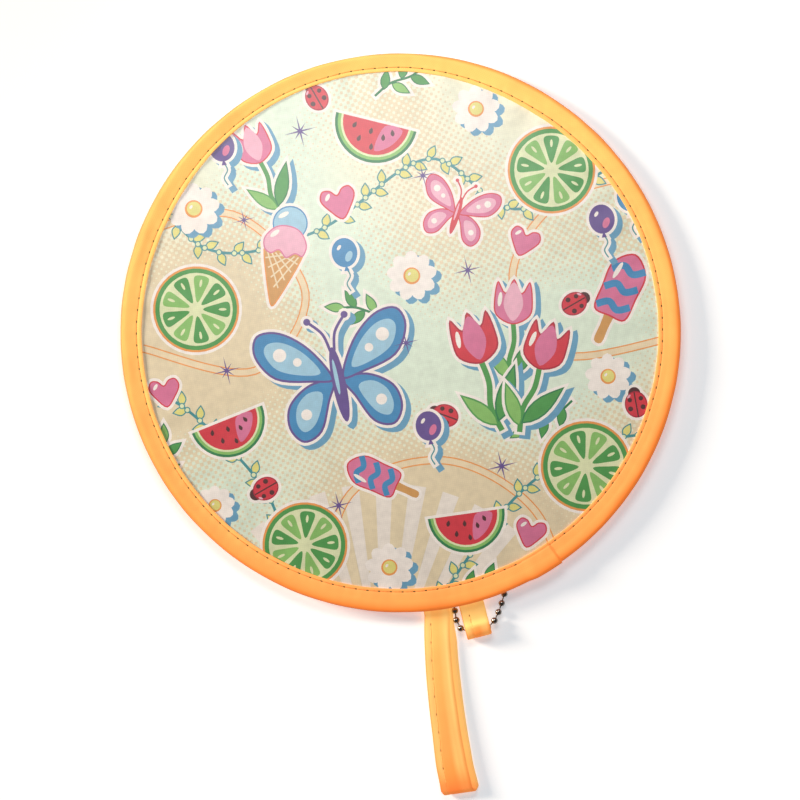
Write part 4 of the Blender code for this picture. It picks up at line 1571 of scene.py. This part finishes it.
@dataclass
class BallChain:
    """The ball chain: hollow balls and the wire links between them."""

    ball_radius: float = 1.2 * MM
    wall: float = 0.2 * MM
    hole: float = 0.42 * MM
    neck: float = 0.25 * MM
    head: float = 0.7 * MM
    sides: int = 24

    def ball(self) -> bpy.types.Mesh:
        """Turn a hollow ball with rolled-in holes."""
        profile = []
        for radius, order in ((self.ball_radius, 1), (self.ball_radius - self.wall, -1)):
            edge = math.asin(self.hole / radius)
            steps = [edge + (math.pi - 2 * edge) * i / 14 for i in range(15)]
            profile += [polar(radius, a) for a in steps[::order]]
        rows = [[Vector((x, r * c, r * s)) for x, r in profile] for c, s in circle(1.0, self.sides)]
        return make_mesh("ball", *skin_rows(rows, closed=True))

    def link(self, span: float) -> bpy.types.Mesh:
        """Turn a wire link, waisted in the middle, with a head at each end."""
        reach = span / 2 - 0.5 * MM
        half = [
            (reach, 0.01 * MM),
            (reach, self.head * 0.7),
            (reach - 0.1 * MM, self.head),
            (reach - 0.2 * MM, self.head * 0.7),
            (reach - 0.32 * MM, self.neck * 1.15),
            (reach * 0.4, self.neck),
        ]
        profile = half + [(-x, r) for x, r in reversed(half)]
        rows = [[Vector((x, y, z)) for y, z in circle(r, self.sides // 2)] for x, r in profile]
        return make_mesh("link", *skin_rows(rows))

    def put(self, node: str, mesh: bpy.types.Mesh, at: Vector, way: Vector, finish: Material) -> Piece:
        """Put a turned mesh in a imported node's place, with its axis along a way."""
        name = node.replace("chain_ball", "nickel_ball").replace("chain_link", "wire_link")
        copy = mesh.copy()
        copy.transform(Matrix.Translation(at) @ way.to_track_quat("X", "Z").to_matrix().to_4x4())
        copy.materials.append(finish)
        piece = link_up(name, copy)
        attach(piece, Body.CHAIN.value)
        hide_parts(node)
        return piece

    def build(self, finish: Material) -> list[Piece]:
        """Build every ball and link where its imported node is."""
        balls = sorted(n for n in frame["nodes"] if n.startswith("chain_ball_"))
        links = sorted(n for n in frame["nodes"] if n.startswith("chain_link_"))
        boxes = [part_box(node) for node in balls]
        spots = [(Vector(low) + Vector(high)) / 2 for low, high in boxes]
        ball = self.ball()
        pieces = []
        for i, node in enumerate(balls):
            way = spots[min(i + 1, len(spots) - 1)] - spots[max(i - 1, 0)]
            pieces.append(self.put(node, ball, spots[i], way, finish))
        for node, first, second in zip(links, spots, spots[1:]):
            way = second - first
            pieces.append(self.put(node, self.link(way.length), (first + second) / 2, way, finish))
        return pieces


@dataclass
class PackedMetal:
    """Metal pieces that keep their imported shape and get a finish."""

    nodes: tuple[str, ...]

    def build(self, finish: Material) -> list[Piece]:
        """Give each piece the finish."""
        pieces = [frame["nodes"][node] for node in self.nodes]
        for piece in pieces:
            for slot in piece.material_slots:
                slot.material = finish
        return pieces


@dataclass(frozen=True)
class SoftBox:
    """A soft lamp, its place and its aim measured from the middle of the fan."""

    name: str
    spot: tuple[float, float, float]
    aim: tuple[float, float, float]
    size: Point
    power: float
    colour: str


@dataclass
class Studio:
    """Floor, lamps, surroundings and the camera."""

    stance: Stance
    view_turn: float = UPRIGHT - math.pi / 2
    elevation: float = math.radians(88.0)
    distance: float = 1.0
    pixels: int = 800
    scale: float = 2804.0
    aim_below: float = 24.4 * MM
    aim_right: float = -0.2 * MM
    sensor: float = 36.0
    clip: Point = (0.05, 20.0)
    floor_half: float = 3.0
    floor_level: float = -0.02 * MM
    ambient: float = 0.08
    ambient_colour: str = "#FFF5EF"
    lamps: tuple[SoftBox, ...] = (
        SoftBox("key_softbox", (0.0, 0.117, 0.28), (0.0, 0.10, 0.0), (0.18, 0.11), 0.43, "#FFFFFF"),
        SoftBox("side_softbox", (-1.5, 0.68, 0.6), (0.0, 0.0, 0.0), (0.45, 0.45), 42.0, "#FFEFE0"),
    )

    def hang(self, name: str, data: bpy.types.ID, at: Vector, way: Vector) -> Piece:
        """Hang a camera or a lamp at a place, facing a way."""
        piece = bpy.data.objects.new(name, data)
        bpy.context.scene.collection.objects.link(piece)
        piece.location = at
        piece.rotation_mode = "QUATERNION"
        piece.rotation_quaternion = way.to_track_quat("-Z", "Y")
        return piece

    def camera(self) -> None:
        """Add the camera, looking from the strap's side from nearly overhead."""
        data = bpy.data.cameras.new("photo_camera")
        data.sensor_width = self.sensor
        data.lens = self.sensor * self.scale * self.distance / self.pixels
        data.clip_start, data.clip_end = self.clip
        down = Vector((math.cos(self.view_turn), math.sin(self.view_turn), 0.0))
        right = Vector((-down.y, down.x, 0.0))
        aim = self.stance.matrix.translation + down * self.aim_below + right * self.aim_right
        back = down * math.cos(self.elevation) + Vector((0.0, 0.0, math.sin(self.elevation)))
        bpy.context.scene.camera = self.hang("photo_camera", data, aim + back * self.distance, -back)

    def light(self, lamp: SoftBox) -> None:
        """Add a soft box that the camera doesn't see."""
        data = bpy.data.lights.new(lamp.name, "AREA")
        data.shape = "RECTANGLE"
        data.size, data.size_y = lamp.size
        data.energy = lamp.power
        data.color = linear(lamp.colour)[:3]
        spot, aim = Vector(lamp.spot), Vector(lamp.aim)
        piece = self.hang(lamp.name, data, self.stance.matrix.translation + spot, aim - spot)
        piece.visible_camera = False

    def floor(self, finish: Material) -> None:
        """Lay the background paper."""
        half, low = self.floor_half, self.floor_level
        corners = [(-half, -half, low), (half, -half, low), (half, half, low), (-half, half, low)]
        mesh = make_mesh("background_paper", corners, [(0, 1, 2, 3)], [finish])
        link_up("background_paper", mesh)

    def surroundings(self) -> None:
        """Make a plain white room that fills the shadows."""
        world = bpy.data.worlds.new("white_room")
        world.use_nodes = True
        tree = world.node_tree
        seen = add_node(tree, "ShaderNodeLightPath", {}, {}).outputs["Is Camera Ray"]
        tint = mixed(tree, seen, self.ambient_colour, "#FFFFFF")
        strength = ranged(tree, seen, (0.0, 1.0), (self.ambient, 1.0))
        connect(tree, tree.nodes["Background"], {"Color": tint, "Strength": strength})
        bpy.context.scene.world = world

    def build(self, paper: Material) -> None:
        """Set the scene up and its plain view transform."""
        self.camera()
        for lamp in self.lamps:
            self.light(lamp)
        self.floor(paper)
        self.surroundings()
        bpy.context.scene.view_settings.view_transform = "Standard"


def report(label: str, pieces: Sequence[Piece]) -> None:
    """Name the pieces of a sub-assembly in the log."""
    for piece in pieces:
        LOG.info("%s: %s, %d faces", label, piece.name, len(piece.data.polygons))


def main() -> None:
    """Build and dress every piece, then the studio."""
    logging.basicConfig(level=logging.INFO, format="%(message)s")
    stance = Stance()
    front = PrintedTaffeta("printed polyester taffeta", "#F3EBD2", 0.34).build()
    back = PrintedTaffeta("back of printed taffeta", "#EFE9D6", 0.5, show_through=0.72).build()
    # across the hem from its rim: a dark painted contact shadow in the first 0.3 mm, then painted shade that
    # deepens towards the outer wall
    hem_shade_tones = (
        (0.0, "#8A4424"), (0.3, "#DB6A2E"), (0.9, "#F58236"), (2.4, "#FC9346"),
        (4.0, "#FFA153"), (6.5, "#FFA95C"), (10.0, "#FFB56A"),
    )  # fmt: skip
    # along the strap: painted shade that deepens into the fold at 65 to 72 mm, and painted light on the
    # lower leg past it
    strap_shade_tones = (
        (0.0, "#FFD078"), (30.0, "#FFB864"), (56.0, "#FFA258"), (65.0, "#FF9448"),
        (69.0, "#FB7A3A"), (72.0, "#E65E2C"), (77.0, "#FFC878"), (90.0, "#FFD886"),
    )  # fmt: skip
    # along the tab: painted shade on its fold from 15.8 to 20 mm
    tab_shade_tones = (
        (0.0, "#FFE189"), (14.2, "#FFDC84"), (15.8, "#F5934A"), (20.0, "#EE7632"), (24.0, "#FFC873"),
    )  # fmt: skip
    # the hem tape: painted light on its side towards the lamps, and a painted glow that lifts its shade
    hem_tape = BiasTape(
        "satin bias tape", "#FFBF6D", 0.62, shade_tones=hem_shade_tones, lit_side_share=0.84, painted_dye_glow=0.32
    ).build()
    # the strap: painted glow, painted shade in its colours and painted highlight streaks
    strap_tape = BiasTape(
        "satin strap tape", "#FFD77F", 0.6, glow="#FFA045", glow_strength=0.38, across=False,
        shade_tones=strap_shade_tones, painted_dye_glow=0.34, highlight_streaks=0.95,
    ).build()  # fmt: skip
    # the tab: painted glow, painted shade in its colours and painted highlight streaks
    tab_tape = BiasTape(
        "satin tab tape", "#FFD77F", 0.6, glow="#FF983C", glow_strength=0.36, across=False,
        shade_tones=tab_shade_tones, painted_dye_glow=0.34, highlight_streaks=0.35,
    ).build()  # fmt: skip
    # the threads get a painted glow that lifts their shade
    thread = SewingThread("spun sewing thread", "#E89446", 0.6, glow_strength=0.22).build()
    loop_thread = SewingThread("pale sewing thread", "#FFD07A", 0.6, glow_strength=0.36).build()
    # the dark discs at the needle holes are painted shade
    hole = SewingThread("painted shade in needle hole", "#70501E", 0.8).build()
    loop_hole_shade = SewingThread("pale painted shade in needle hole", "#A87A36", 0.8, glow_strength=0.05).build()
    nickel = PlatedMetal("nickel-plated steel", "#9A948E", 0.17, 1.0).build()
    spring = PlatedMetal("blued spring steel", "#8E8F94", 0.3, 1.0, stain="#5C5F6B").build()
    strap_nodes, tab_nodes = ("wrist_strap", "strap_root"), ("chain_tab", "tab_root")
    strap = WristStrap(stance, "strap_tape", "strap_swing", Body.STRAP, strap_nodes, 62.2 * MM, 7.4 * MM)
    tab = ChainTab(stance, "tab_tape", "tab_swing", Body.TAB, tab_nodes, 8.2 * MM, 6.0 * MM)
    report("panel", [PrintedPanel(stance).build(front, back)])
    report("hem", HemTape(stance).build(hem_tape, thread, hole))
    report("strap", strap.build(strap_tape, loop_thread, loop_hole_shade))
    report("tab", tab.build(tab_tape, loop_thread, loop_hole_shade))
    report("chain", BallChain().build(nickel))
    report("coupling", PackedMetal(("chain_coupling",)).build(nickel))
    report("hoop", PackedMetal(("spring_hoop", "hoop_sleeve")).build(spring))
    Studio(stance).build(StudioPaper("matt background paper", "#FAFAF8", 0.9).build())


if __name__ == "__main__":
    main()
